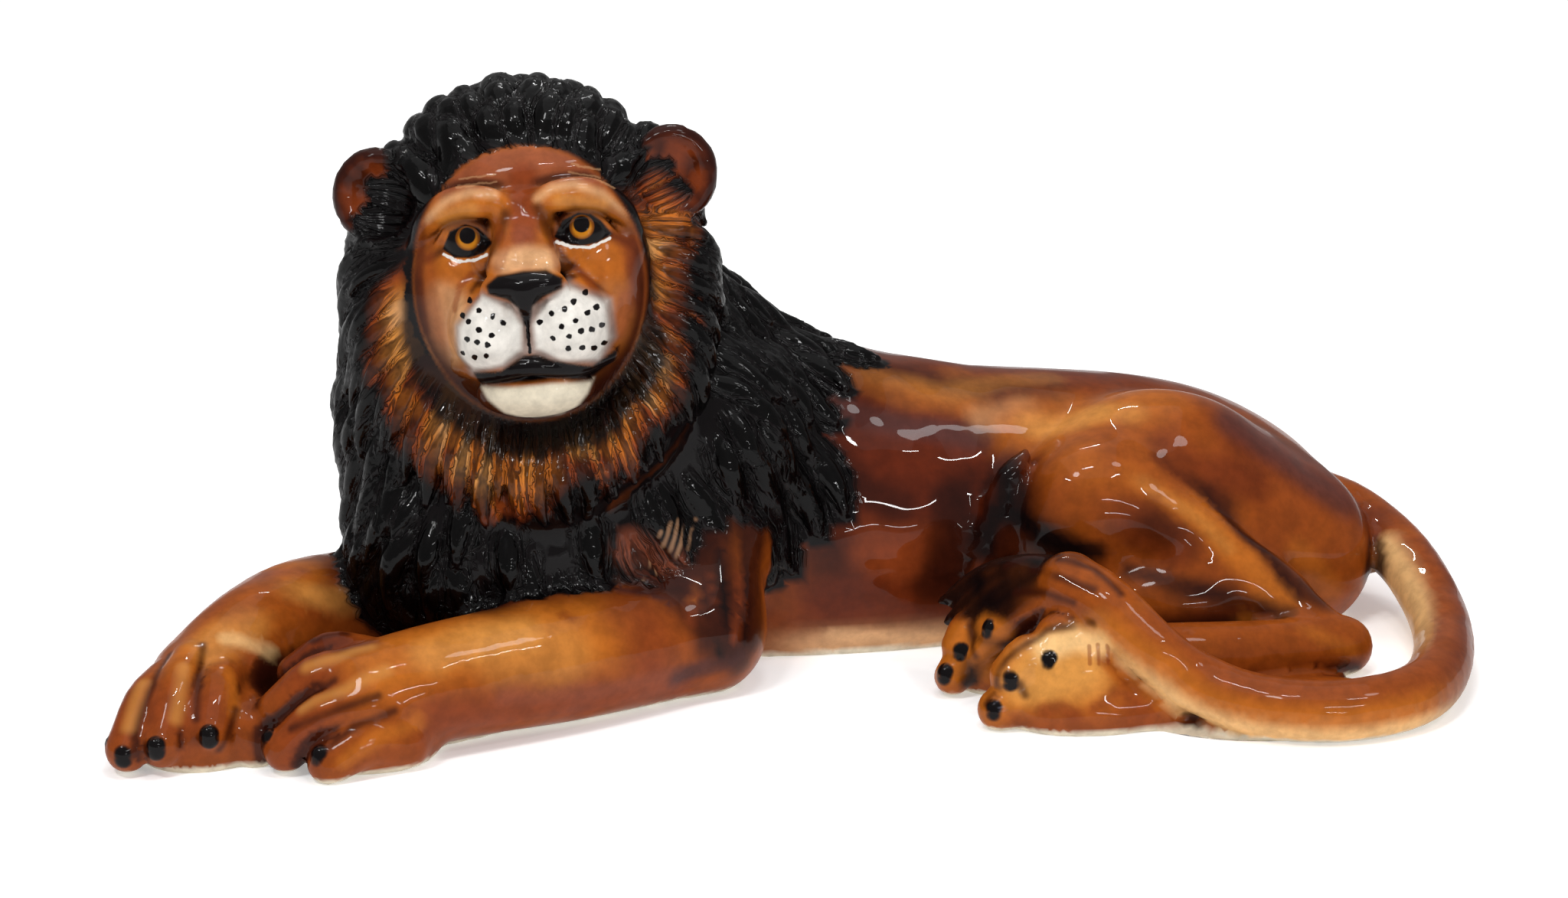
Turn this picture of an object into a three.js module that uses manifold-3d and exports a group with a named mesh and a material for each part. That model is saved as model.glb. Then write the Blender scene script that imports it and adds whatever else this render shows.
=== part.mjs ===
// Glazed ceramic lion, lying down, about 0.8 m long.
// Millimetres, +Z up. The lion's head is at -X, its tail at +X, and its left flank faces -Y.
// It is cast in one piece, so it is one solid that rests on its flat underside at z = 0.
//
// The body is built as rounded forms (eggs, limbs and ropes) that melt into each other like clay.
// The surface of that clay is then netted, thinned to a faceted solid, and cut flat underneath.
import * as THREE from 'three';
import { mergeVertices } from 'three/addons/utils/BufferGeometryUtils.js';
import Module from 'manifold-3d';

// Finished surface
const NET = 3.2; // spacing of the first net over the clay
const TRIANGLES = 9300; // faces kept after thinning
const KEPT_BELOW = 5; // clay left under the table plane before the flat cut
const MIDDLE = [-9, 0]; // middle of the finished lion's footprint, moved to the origin

// Head
const HEAD_AT = [-160, -30, 268]; // midway between the eyes
const HEAD_YAW = -10; // degrees, turned to the viewer's left
const HEAD_PITCH = 10; // degrees, nose up
const HEAD_ROLL = 4.5; // degrees, tilted towards its right shoulder
const FACE_WIDE = 62; // half width of the bare face
const FACE_TALL = 74; // half height, from the hairline to under the chin
const FACE_MIDDLE = -28; // centre of the bare face, below the eyes
const EYE_APART = 30.5; // from the middle line to each eye
const EYE_RADIUS = 14;

// Mane
const RUFF_LOCKS = 36; // locks in each ring around the face
const RUFF_RINGS = 2;
const RUFF_WIDE = 5.3; // half width of a lock in the inner ring
const RUFF_LENGTH = 50;
const CREST_ROWS = 4;
const CREST_LOCKS = 9; // curls in the first row
const CREST_SPAN = 52; // degrees to each side of the middle
const LOCK_SPACING = 18.5; // between the roots of the mane's locks
const LOCK_WIDE = 8; // half width of a lock
const LOCK_LENGTH = 44;

// Claws: far forepaw, near forepaw, near hind foot, far hind foot
const CLAW_SIZE = [5.2, 4.6, 6.8];
const CLAWS = [
  [-391, -97, 14], [-386, -109, 13], [-369, -114, 18], [-341, -112, 22],
  [-309, -113, 18], [-284, -134, 15],
  [83, -122, 13], [92, -120, 29], [113, -121, 39],
  [68, -65, 14], [77, -63, 26], [91, -74, 42],
];

// Tail
const TAIL_RADIUS = 17;
const TUFT_LOCKS = 5;
const FLANK_LOCKS = 4; // folds of longer hair in front of the thigh

const rad = THREE.MathUtils.degToRad;
const clamp = THREE.MathUtils.clamp;
const smooth = THREE.MathUtils.smoothstep;

// A repeatable scatter between 0 and 1 from a whole number
function scatter(n) {
  const s = Math.sin(n * 12.9898 + 4.1414) * 43758.5453;
  return s - Math.floor(s);
}

function distanceToTube(path, radii, x, y, z) {
  let best = 1e9;
  for (let i = 0; i < radii.length - 1; i++) {
    const j = 3 * i;
    const ax = path[j];
    const ay = path[j + 1];
    const az = path[j + 2];
    const bx = path[j + 3] - ax;
    const by = path[j + 4] - ay;
    const bz = path[j + 5] - az;
    const px = x - ax;
    const py = y - ay;
    const pz = z - az;
    const t = clamp((px * bx + py * by + pz * bz) / (bx * bx + by * by + bz * bz + 1e-12), 0, 1);
    const d = Math.hypot(px - t * bx, py - t * by, pz - t * bz) - (radii[i] + (radii[i + 1] - radii[i]) * t);
    if (d < best) best = d;
  }
  return best;
}

// The clay: a list of forms, each joined to or cut from what came before it
class Clay {
  constructor() {
    this.forms = [];
    this.frame = new THREE.Matrix4();
    this.side = 1; // -1 mirrors the next forms across the frame's middle plane
  }

  place(x, y, z) {
    return new THREE.Vector3(x * this.side, y, z).applyMatrix4(this.frame);
  }

  add(low, high, distance, blend, cut) {
    const reach = blend + 12;
    this.forms.push({
      low: low.map((v) => v - reach),
      high: high.map((v) => v + reach),
      distance,
      blend: Math.max(blend, 1e-6),
      cut,
    });
  }

  // A rounded lump: centre, three half sizes, and a turn in degrees about one of the frame's axes
  egg(at, size, blend, turn = null, cut = false) {
    const centre = this.place(...at);
    const axes = new THREE.Matrix4();
    if (turn) {
      const axis = new THREE.Vector3().setComponent(turn[0], 1);
      const sign = turn[0] === 0 ? 1 : this.side;
      axes.makeRotationAxis(axis, rad(turn[1] * sign));
    }
    axes.premultiply(new THREE.Matrix4().extractRotation(this.frame));
    const e = axes.elements;
    const [sx, sy, sz] = size;
    const half = [0, 1, 2].map((k) => Math.hypot(e[k] * sx, e[4 + k] * sy, e[8 + k] * sz));
    const c = centre.toArray();
    const distance = (x, y, z) => {
      const px = x - c[0];
      const py = y - c[1];
      const pz = z - c[2];
      const u = (px * e[0] + py * e[1] + pz * e[2]) / sx;
      const v = (px * e[4] + py * e[5] + pz * e[6]) / sy;
      const w = (px * e[8] + py * e[9] + pz * e[10]) / sz;
      const k0 = Math.hypot(u, v, w) + 1e-9;
      const k1 = Math.hypot(u / sx, v / sy, w / sz) + 1e-12;
      return (k0 * (k0 - 1)) / k1;
    };
    this.add(c.map((v, k) => v - half[k]), c.map((v, k) => v + half[k]), distance, blend, cut);
  }

  hollow(at, size, blend, turn = null) {
    this.egg(at, size, blend, turn, true);
  }

  // A tapering tube through points [x, y, z, radius], run as a smooth curve
  rope(points, blend, steps = 5) {
    const run = new THREE.CatmullRomCurve3(points.map((p) => this.place(p[0], p[1], p[2])), false, 'catmullrom');
    const swell = new THREE.CatmullRomCurve3(points.map((p) => new THREE.Vector3(p[3], 0, 0)), false, 'catmullrom');
    const count = (points.length - 1) * steps;
    const path = run.getPoints(count).flatMap((p) => p.toArray());
    const radii = swell.getPoints(count).map((p) => p.x);
    const low = [1e9, 1e9, 1e9];
    const high = [-1e9, -1e9, -1e9];
    for (let i = 0; i < path.length; i++) {
      const r = radii[Math.floor(i / 3)];
      low[i % 3] = Math.min(low[i % 3], path[i] - r);
      high[i % 3] = Math.max(high[i % 3], path[i] + r);
    }
    this.add(low, high, (x, y, z) => distanceToTube(path, radii, x, y, z), blend, false);
  }

  // Signed distance to the clay, by the forms near the point
  at(x, y, z, forms = this.forms) {
    let d = 40;
    for (const form of forms) {
      const { low, high, blend } = form;
      if (x < low[0] || y < low[1] || z < low[2] || x > high[0] || y > high[1] || z > high[2]) continue;
      let b = form.distance(x, y, z);
      if (form.cut) b = -b;
      const h = Math.max(blend - Math.abs(d - b), 0) / blend;
      const melt = (h * h * blend) / 4;
      d = form.cut ? Math.max(d, b) + melt : Math.min(d, b) - melt;
    }
    return d;
  }

  near(low, high) {
    return this.forms.filter((form) => [0, 1, 2].every((k) => form.low[k] < high[k] && form.high[k] > low[k]));
  }

  slope(p, forms = this.forms) {
    const e = 0.4;
    const g = new THREE.Vector3();
    for (const [a, b, c] of [[1, -1, -1], [-1, -1, 1], [-1, 1, -1], [1, 1, 1]]) {
      const d = this.at(p.x + a * e, p.y + b * e, p.z + c * e, forms);
      g.add(new THREE.Vector3(a * d, b * d, c * d));
    }
    return g.multiplyScalar(1 / (4 * e));
  }

  // Moves a point onto the clay's surface
  settle(p, steps = 4) {
    const q = p.clone();
    for (let i = 0; i < steps; i++) {
      const g = this.slope(q);
      const d = this.at(q.x, q.y, q.z) / Math.max(g.lengthSq(), 0.05);
      q.addScaledVector(g, -clamp(d, -8, 8));
    }
    return q;
  }
}

// Frame of the head: right, up and out of the face
function headFrame() {
  const yaw = rad(HEAD_YAW);
  const pitch = rad(HEAD_PITCH);
  const out = new THREE.Vector3(
    Math.sin(yaw) * Math.cos(pitch),
    -Math.cos(yaw) * Math.cos(pitch),
    Math.sin(pitch),
  );
  const right = new THREE.Vector3(Math.cos(yaw), Math.sin(yaw), 0);
  const up = new THREE.Vector3().crossVectors(out, right);
  right.applyAxisAngle(out, rad(HEAD_ROLL));
  up.applyAxisAngle(out, rad(HEAD_ROLL));
  return new THREE.Matrix4().makeBasis(right, up, out).setPosition(...HEAD_AT);
}

function addTrunk(clay) {
  clay.egg([-30, 92, 60], [140, 82, 104], 1); // ribs
  clay.egg([100, 92, 50], [150, 82, 93], 60); // belly
  clay.egg([224, 98, 42], [107, 76, 79], 50); // hips
}

function addHaunch(clay) {
  clay.egg([212, 42, 62], [86, 62, 78], 7); // thigh
  clay.egg([272, 56, 44], [62, 66, 57], 24); // rump
  clay.egg([303, 44, 38], [43, 48, 46], 14);
  clay.egg([166, 4, 76], [42, 34, 47], 22); // knee
  clay.rope([[176, 2, 90, 22], [204, -12, 78, 24], [242, -24, 53, 21], [286, -50, 20, 17]], 7); // calf
  clay.rope([[299, -60, 15, 17], [240, -74, 19, 18.5], [175, -84, 23, 20], [140, -90, 24, 20]], 5); // hock to foot
  clay.egg([224, -28, 36], [62, 24, 28], 12); // flat of the shank
  clay.egg([215, -46, -4], [90, 40, 24], 10); // webs of clay that close the gaps under the leg
  clay.egg([245, -112, -4], [80, 50, 16], 6);
  for (let i = 0; i < FLANK_LOCKS; i++) {
    const z = 114 - 14 * i;
    clay.rope([[130 - i, 15 - 2 * i, z, 4], [119 - 2 * i, 9 - 2 * i, z - 10, 7], [104 - 4 * i, 8 - 2 * i, z - 26, 2]], 4);
  }
}

// Toes run from a knuckle to a tip: [knuckle], [tip], two radii
function addToes(clay, toes) {
  for (const [knuckle, tip, thick, thin] of toes) {
    const middle = knuckle.map((v, k) => (v + tip[k]) / 2 + (k === 2 ? 6 : 0));
    clay.rope([[...knuckle, thick], [...middle, (thick + thin) / 2 + 1], [...tip, thin]], 2.5, 3);
  }
}

function addHindFeet(clay) {
  clay.rope([[170, -10, 20, 24], [120, -40, 20, 24]], 8);
  clay.egg([102, -48, 18], [31, 25, 26], 6); // far foot
  addToes(clay, [
    [[90, -52, 13], [73, -60, 11], 11.5, 10.5],
    [[92, -47, 30], [78, -55, 27], 11.5, 10.5],
    [[105, -42, 40], [91, -52, 41], 11, 10],
  ]);
  clay.egg([130, -104, 22], [38, 29, 31], 8); // near foot
  addToes(clay, [
    [[114, -108, 12], [87, -115, 11], 13, 12],
    [[116, -106, 33], [94, -112, 29], 13, 12],
    [[132, -100, 44], [115, -110, 43], 12, 11],
  ]);
  clay.egg([143, -118, 8], [48, 22, 17], 10);
  clay.egg([134, -103, 36], [24, 17, 20], 8);
  clay.egg([170, -120, 11], [34, 15, 17], 6); // clay between foot and tail
}

function addTail(clay) {
  const r = TAIL_RADIUS;
  clay.rope([
    [318, 92, 52, r + 6], [346, 76, 46, r + 2.5], [361, 20, 37, r + 0.5], [360, -48, 22, r],
    [340, -110, 17.5, r], [310, -150, 16.5, r], [264, -164, 16.5, r], [222, -151, 18, r],
    [191, -134, 28, r - 0.5], [168, -124, 45, r - 0.5], [150, -107, 62, r], [132, -87, 71, r + 1],
  ], 5);
  for (let i = 0; i < TUFT_LOCKS; i++) {
    const t = i / (TUFT_LOCKS - 1) - 0.5;
    clay.rope([
      [146, -100 + 8 * t, 66 + 4 * t, 13], [124, -80 + 16 * t, 66 + 10 * t, 12], [104, -64 + 26 * t, 56 + 20 * t, 10],
      [88, -52 + 34 * t, 42 + 26 * t, 7], [77 - 6 * t, -46 + 40 * t, 28 + 30 * t, 3],
    ], 3);
  }
}

function addManeMass(clay) {
  clay.egg([-150, 42, 222], [100, 76, 76], 20);
  clay.egg([-152, 40, 145], [104, 74, 96], 30);
  clay.egg([-158, 14, 80], [97, 62, 62], 25);
  clay.rope([[-92, 82, 188, 51], [-44, 90, 150, 52], [-2, 93, 114, 48], [16, 94, 108, 49]], 24);
  clay.egg([-66, 44, 124], [74, 60, 60], 20);
}

function addForelegs(clay) {
  clay.rope([[-180, 60, 20, 40], [-235, 42, 28, 40], [-279, 18, 38, 36], [-311, -18, 40, 32], [-340, -50, 27, 31]], 12);
  clay.egg([-343, -76, 13], [38, 34, 30], 6, [2, 20]); // far paw
  addToes(clay, [
    [[-367, -60, 22], [-385, -90, 12], 10, 10],
    [[-362, -62, 37], [-384, -101, 13], 11, 11.5],
    [[-347, -61, 46], [-366, -104, 16], 11.5, 12],
    [[-330, -62, 40], [-340, -102, 20], 11, 11.5],
  ]);
  clay.rope([[-40, 34, 96, 34], [-54, -2, 64, 30], [-62, -22, 34, 32]], 16); // near upper arm
  clay.rope([[-64, -14, 32, 37], [-145, -58, 35, 35], [-215, -86, 36, 32], [-255, -98, 32, 31]], 12);
  clay.egg([-254, -98, 17], [41, 33, 31], 6, [2, 12]); // near paw
  addToes(clay, [
    [[-238, -116, 14], [-279, -129, 10], 14, 12],
    [[-257, -117, 38], [-301, -114, 13], 12.5, 12],
    [[-262, -98, 50], [-303, -96, 29], 12, 11.5],
    [[-256, -78, 50], [-292, -74, 41], 11.5, 10.5],
  ]);
  clay.egg([-316, -84, 10], [14, 24, 23], 6); // clay between the paws
  clay.egg([-250, -40, 0], [80, 50, 26], 16); // low web between the legs
}

// Claws show at the tips of the toes as small ovals
function addClaws(clay) {
  for (const at of CLAWS) clay.egg(at, CLAW_SIZE, 1.5);
}

function addSkull(clay) {
  clay.egg([-4, 14, -66], [70, 61, 50], 16); // crown under the hair
  clay.egg([0, -30, -74], [82, 80, 46], 16);
  for (clay.side of [1, -1]) {
    clay.rope([[62, 22, -70, 20], [75, -24, -62, 22], [70, -72, -50, 24], [50, -108, -38, 26], [18, -130, -32, 28], [0, -133, -32, 28]], 12);
  }
}

function addFace(clay) {
  clay.egg([0, -2, -48], [63, 60, 46], 6);
  clay.egg([0, 30, -32], [46, 18, 27], 10); // forehead
  clay.egg([0, -56, -26], [46, 42, 44], 12); // jaw
  for (clay.side of [1, -1]) {
    clay.egg([36, -30, -30], [27, 36, 34], 12); // cheek
    clay.egg([51, -15, -24], [13, 12, 13], 8);
    clay.hollow([EYE_APART + 1, -2, 6], [16, 10, 9], 5);
    clay.egg([13, 4, -5], [7, 10, 8], 4); // inner corner of the eye
    clay.rope([[7, 14, 3, 6.5], [19, 19, 4, 8.5], [37, 18.5, -3, 9], [52, 9, -13, 7.5], [59, -4, -20, 5]], 4); // brow
    clay.egg([EYE_APART, -1.5, -12], [EYE_RADIUS + 0.5, EYE_RADIUS, EYE_RADIUS], 1.5);
    clay.rope([[15.5, -6, -4, 2.2], [22, -10.5, -2.2, 2.3], [32, -12.3, -2.2, 2.3], [40, -10, -6, 2.2], [47, -5, -12, 2]], 2); // lower lid
    clay.rope([[15.5, -6, -4, 2.2], [21, 4.5, -0.7, 2.8], [30, 9.5, -0.7, 3], [39, 6.5, -3.5, 2.7], [48, -4.5, -11.5, 2.2]], 2); // upper lid
    clay.rope([[5, 14, -4, 9], [6, 0, 8, 9.5], [9, -17, 22, 11]], 6); // bridge
    clay.egg([19, -13, 1], [9, 9, 9], 6); // side of the nose
    clay.egg([20, -49, 13], [20.5, 22.5, 29], 6); // whisker pad
    clay.egg([28, -48, 2], [14.5, 22, 24], 8);
    clay.rope([[14, -24, 30, 7], [20, -29, 30, 4], [14, -36, 34, 3]], 3); // wing of the nose
    addEar(clay);
  }
  clay.side = 1;
  clay.egg([0, -46, 16], [16, 22, 22], 4);
  clay.egg([0, -25, 33], [21.5, 8.5, 11.5], 3); // nose
  clay.rope([[0, -28, 36, 9], [0, -36, 36, 5.5], [0, -44, 31, 3]], 2);
  clay.hollow([0, -54, 44], [2.6, 15, 12], 3); // groove between the whisker pads
  clay.egg([0, -84, 5], [32, 14.5, 22], 4); // chin
  clay.rope([[-41, -69, -4, 4.5], [-24, -72.5, 16, 4.5], [0, -69, 27, 5], [24, -72.5, 16, 4.5], [41, -69, -4, 4.5]], 3); // lip
}

function addEar(clay) {
  clay.rope([[60, 16, -58, 16], [72, 20, -54, 19]], 8);
  clay.egg([81, 24, -46], [25.5, 27, 12], 5, [1, 10]);
  clay.hollow([81, 23.5, -34], [21, 22, 14], 3, [1, 10]);
}

// Which way hair grows at a point of the head's frame: out from the face, then down and back
function hairFlow(x, y, z) {
  const dy = y - FACE_MIDDLE;
  const r = Math.hypot(x, dy) + 1e-6;
  const side = 1 - smooth(dy / r, 0.2, 0.8);
  const hang = side * (0.5 + 0.7 * smooth(r, 60, 125)) + 2.2 * smooth(-z, 70, 130);
  return new THREE.Vector3(x / r, dy / r - hang, -0.35 - 0.4 * smooth(-z, 0, 60)).normalize();
}

// One lock of hair: it leaves the surface a little buried, swells, and ends in a point
function addLock(clay, ground, toHead, headToWorld, root, length, wide, bend, rise, shape = [0.75, 1, 1, 0.75, 0.3]) {
  const steps = 4;
  const points = [];
  let p = root.clone();
  for (let i = 0; i <= steps; i++) {
    const t = i / steps;
    const n = ground.slope(p, ground.forms).normalize();
    const fat = wide * shape[i];
    const lift = rise * [-0.7, -0.1, 0.35, 0.55, 0.5][i] - fat * 0.45;
    points.push([p.x + n.x * lift, p.y + n.y * lift, p.z + n.z * lift, fat]);
    const q = p.clone().applyMatrix4(toHead);
    const way = hairFlow(q.x, q.y, q.z).transformDirection(headToWorld);
    way.addScaledVector(n, -way.dot(n)).normalize();
    way.applyAxisAngle(n, bend * Math.sin(t * 5.5));
    p = ground.settle(p.addScaledVector(way, length / steps), 2);
  }
  clay.rope(points, 2, 2);
}

function addMane(clay, ground, maneMass, head) {
  const toHead = head.clone().invert();
  const onFace = (turn, reach, out) => {
    const a = rad(turn);
    const y = FACE_MIDDLE + FACE_TALL * reach * Math.cos(a);
    return ground.settle(new THREE.Vector3(FACE_WIDE * reach * Math.sin(a), y, out).applyMatrix4(head), 8);
  };
  // rings of locks around the face, the outer ring first
  for (let ring = RUFF_RINGS - 1; ring >= 0; ring--) {
    for (let i = 0; i < RUFF_LOCKS; i++) {
      const turn = 36 + (288 * (i + 0.5 + 0.5 * ring)) / RUFF_LOCKS;
      const size = 0.84 + 0.32 * scatter(i + 70 * ring);
      const low = smooth(-Math.cos(rad(turn)), 0.2, 1);
      const root = onFace(turn, 1 + 0.27 * ring, -34 - 10 * ring);
      addLock(clay, ground, toHead, head, root, (RUFF_LENGTH + 8 * low) * size, (RUFF_WIDE + 1.4 * ring) * size,
        0.4 * (scatter(i + 50 + 90 * ring) - 0.5), 7);
    }
  }
  // crest of thick curls over the forehead, in rows from the hairline back
  for (let row = 0; row < CREST_ROWS; row++) {
    const many = CREST_LOCKS + row;
    for (let i = 0; i < many; i++) {
      const turn = CREST_SPAN * ((2 * (i + 0.5)) / many - 1) + 5 * (scatter(31 * row + i) - 0.5);
      const size = 0.9 + 0.3 * scatter(17 * row + i + 400);
      const root = onFace(turn, 0.97 + 0.19 * row, -14 - 14 * row);
      addLock(clay, ground, toHead, head, root, 33 * size, 8.6 * size, 0.9 * (scatter(i + 9 * row + 80) - 0.5), 11,
        [0.7, 1, 1.08, 1, 0.6]);
    }
  }
  // locks over the rest of the mane
  let n = 0;
  for (let z = 50; z < 360; z += LOCK_SPACING * 0.82) {
    for (let y = -110; y < 190; y += LOCK_SPACING) {
      for (let x = -290; x < 70; x += LOCK_SPACING) {
        n += 1;
        const odd = Math.round(z / (LOCK_SPACING * 0.82)) % 2;
        const p = new THREE.Vector3(
          x + LOCK_SPACING * (0.5 * odd + 0.5 * (scatter(n) - 0.5)),
          y + LOCK_SPACING * (0.5 * odd + 0.5 * (scatter(n + 7000) - 0.5)),
          z + LOCK_SPACING * 0.4 * (scatter(n + 9000) - 0.5),
        );
        const d = ground.at(p.x, p.y, p.z);
        if (Math.abs(d) > LOCK_SPACING * 0.42) continue;
        const root = ground.settle(p, 3);
        const q = root.clone().applyMatrix4(toHead);
        const r = Math.hypot(q.x / FACE_WIDE, (q.y - FACE_MIDDLE) / FACE_TALL);
        const crest = q.y > 10;
        if (q.z > -95 && r < (crest ? 1.5 : 1.58)) continue;
        if (Math.hypot(Math.abs(q.x) - 80, q.y - 24, q.z + 46) < 30) continue;
        if (maneMass.at(root.x, root.y, root.z) > (crest ? 60 : 4)) continue;
        const size = 0.82 + 0.36 * scatter(n + 300);
        addLock(clay, ground, toHead, head, root, LOCK_LENGTH * size * (crest ? 0.75 : 1), LOCK_WIDE * size,
          0.7 * (scatter(n + 600) - 0.5), crest ? 9 : 7);
      }
    }
  }
}

function model() {
  const head = headFrame();
  const maneMass = new Clay();
  addManeMass(maneMass);
  const ground = new Clay(); // everything that hair grows on
  addTrunk(ground);
  ground.forms.push(...maneMass.forms);
  ground.frame = head;
  addSkull(ground);
  ground.side = 1;
  const clay = new Clay();
  clay.forms.push(...ground.forms);
  addMane(clay, ground, maneMass, head);
  clay.frame = head;
  addFace(clay);
  clay.side = 1;
  clay.frame = new THREE.Matrix4();
  addHaunch(clay);
  addHindFeet(clay);
  addTail(clay);
  addForelegs(clay);
  addClaws(clay);
  return clay;
}

// Whether the surface crosses a grid cell as one plain patch, for each pattern of its eight corners
function plainPatterns() {
  const joined = (corners) => {
    if (!corners.length) return true;
    const seen = new Set([corners[0]]);
    for (const c of seen) {
      for (const bit of [1, 2, 4]) if (corners.includes(c ^ bit)) seen.add(c ^ bit);
    }
    return seen.size === corners.length;
  };
  const all = [0, 1, 2, 3, 4, 5, 6, 7];
  const plain = [];
  for (let mask = 0; mask < 256; mask++) {
    const inside = all.filter((c) => (mask >> c) & 1);
    const outside = all.filter((c) => !((mask >> c) & 1));
    let good = joined(inside) && joined(outside);
    for (const [u, v, w] of [[1, 2, 4], [2, 4, 1], [4, 1, 2]]) {
      for (const base of [0, w]) {
        const [a, b, c, d] = [base, base + u, base + v, base + u + v].map((k) => (mask >> k) & 1);
        if (a === d && b === c && a !== b) good = false;
      }
    }
    plain.push(good);
  }
  return plain;
}

// Fills crevices too fine for the grid, so that the net is a clean single skin
function closeCrevices(value, n, cell) {
  const plain = plainPatterns();
  const corner = [0, 1, 2, 3, 4, 5, 6, 7].map((c) => (c & 1) + n[0] * ((c >> 1) & 1) + n[0] * n[1] * (c >> 2));
  let changed = true;
  while (changed) {
    changed = false;
    for (let k = 0; k < n[2] - 1; k++) {
      for (let j = 0; j < n[1] - 1; j++) {
        for (let i = 0; i < n[0] - 1; i++) {
          const here = (k * n[1] + j) * n[0] + i;
          let mask = 0;
          let nearest = -1;
          for (let c = 0; c < 8; c++) {
            const at = here + corner[c];
            if (value[at] < 0) mask |= 1 << c;
            else if (nearest < 0 || value[at] < value[nearest]) nearest = at;
          }
          if (plain[mask]) continue;
          value[nearest] = -0.1 * cell;
          changed = true;
        }
      }
    }
  }
}

// Nets the surface of the clay: one point in each grid cell that the surface crosses
function net(clay, cell) {
  const low = [1e9, 1e9, 1e9];
  const high = [-1e9, -1e9, -1e9];
  for (const form of clay.forms) {
    for (let k = 0; k < 3; k++) {
      low[k] = Math.min(low[k], form.low[k]);
      high[k] = Math.max(high[k], form.high[k]);
    }
  }
  low[2] = -KEPT_BELOW - 1.5 * cell;
  const n = low.map((v, k) => Math.ceil((high[k] - v) / cell) + 1);
  const value = new Float32Array(n[0] * n[1] * n[2]).fill(40);
  const index = (i, j, k) => (k * n[1] + j) * n[0] + i;
  const block = 8;
  for (let bk = 0; bk < n[2]; bk += block) {
    for (let bj = 0; bj < n[1]; bj += block) {
      for (let bi = 0; bi < n[0]; bi += block) {
        const from = [bi, bj, bk];
        const to = from.map((v, k) => Math.min(v + block, n[k]));
        const a = from.map((v, k) => low[k] + v * cell);
        const b = to.map((v, k) => low[k] + v * cell);
        const forms = clay.near(a, b);
        if (!forms.length) continue;
        const mid = clay.at((a[0] + b[0]) / 2, (a[1] + b[1]) / 2, (a[2] + b[2]) / 2, forms);
        const deep = mid < -1.6 * block * cell;
        for (let k = from[2]; k < to[2]; k++) {
          for (let j = from[1]; j < to[1]; j++) {
            for (let i = from[0]; i < to[0]; i++) {
              const z = low[2] + k * cell;
              const d = deep ? mid : clay.at(low[0] + i * cell, low[1] + j * cell, z, forms);
              value[index(i, j, k)] = Math.max(d, -(z + KEPT_BELOW));
            }
          }
        }
      }
    }
  }
  closeCrevices(value, n, cell);
  const ids = new Int32Array(value.length).fill(-1);
  const points = [];
  for (let k = 0; k < n[2] - 1; k++) {
    for (let j = 0; j < n[1] - 1; j++) {
      for (let i = 0; i < n[0] - 1; i++) {
        const v = [];
        let inside = 0;
        for (let c = 0; c < 8; c++) {
          v.push(value[index(i + (c & 1), j + ((c >> 1) & 1), k + (c >> 2))]);
          if (v[c] < 0) inside += 1;
        }
        if (inside === 0 || inside === 8) continue;
        const sum = [0, 0, 0];
        let count = 0;
        for (let c = 0; c < 8; c++) {
          for (let axis = 0; axis < 3; axis++) {
            const d = c | (1 << axis);
            if (d === c || v[c] < 0 === v[d] < 0) continue;
            const t = v[c] / (v[c] - v[d]);
            for (let m = 0; m < 3; m++) sum[m] += ((c >> m) & 1) + (m === axis ? t : 0);
            count += 1;
          }
        }
        ids[index(i, j, k)] = points.length / 3;
        points.push(
          low[0] + cell * (i + sum[0] / count),
          low[1] + cell * (j + sum[1] / count),
          low[2] + cell * (k + sum[2] / count),
        );
      }
    }
  }
  const step = [1, n[0], n[0] * n[1]];
  const faces = [];
  for (let k = 1; k < n[2] - 1; k++) {
    for (let j = 1; j < n[1] - 1; j++) {
      for (let i = 1; i < n[0] - 1; i++) {
        const here = index(i, j, k);
        for (let axis = 0; axis < 3; axis++) {
          const first = value[here] < 0;
          if (first === value[here + step[axis]] < 0) continue;
          const u = step[(axis + 1) % 3];
          const w = step[(axis + 2) % 3];
          const quad = [ids[here], ids[here - u], ids[here - u - w], ids[here - w]];
          if (!first) quad.reverse();
          faces.push(quad[0], quad[1], quad[2], quad[0], quad[2], quad[3]);
        }
      }
    }
  }
  return { points, faces };
}

// Keeps the outer skin, the net's largest piece, and drops any pocket left inside the clay
function outerSkin({ points, faces }) {
  const parent = Int32Array.from({ length: points.length / 3 }, (_, i) => i);
  const root = (i) => {
    while (parent[i] !== i) {
      parent[i] = parent[parent[i]];
      i = parent[i];
    }
    return i;
  };
  for (let f = 0; f < faces.length; f += 3) {
    parent[root(faces[f + 1])] = root(faces[f]);
    parent[root(faces[f + 2])] = root(faces[f]);
  }
  const sizes = new Map();
  for (const v of faces) sizes.set(root(v), (sizes.get(root(v)) ?? 0) + 1);
  const [main] = [...sizes].sort((a, b) => b[1] - a[1])[0];
  const kept = [];
  for (let f = 0; f < faces.length; f += 3) {
    if (root(faces[f]) === main) kept.push(faces[f], faces[f + 1], faces[f + 2]);
  }
  return { points, faces: kept };
}

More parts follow.
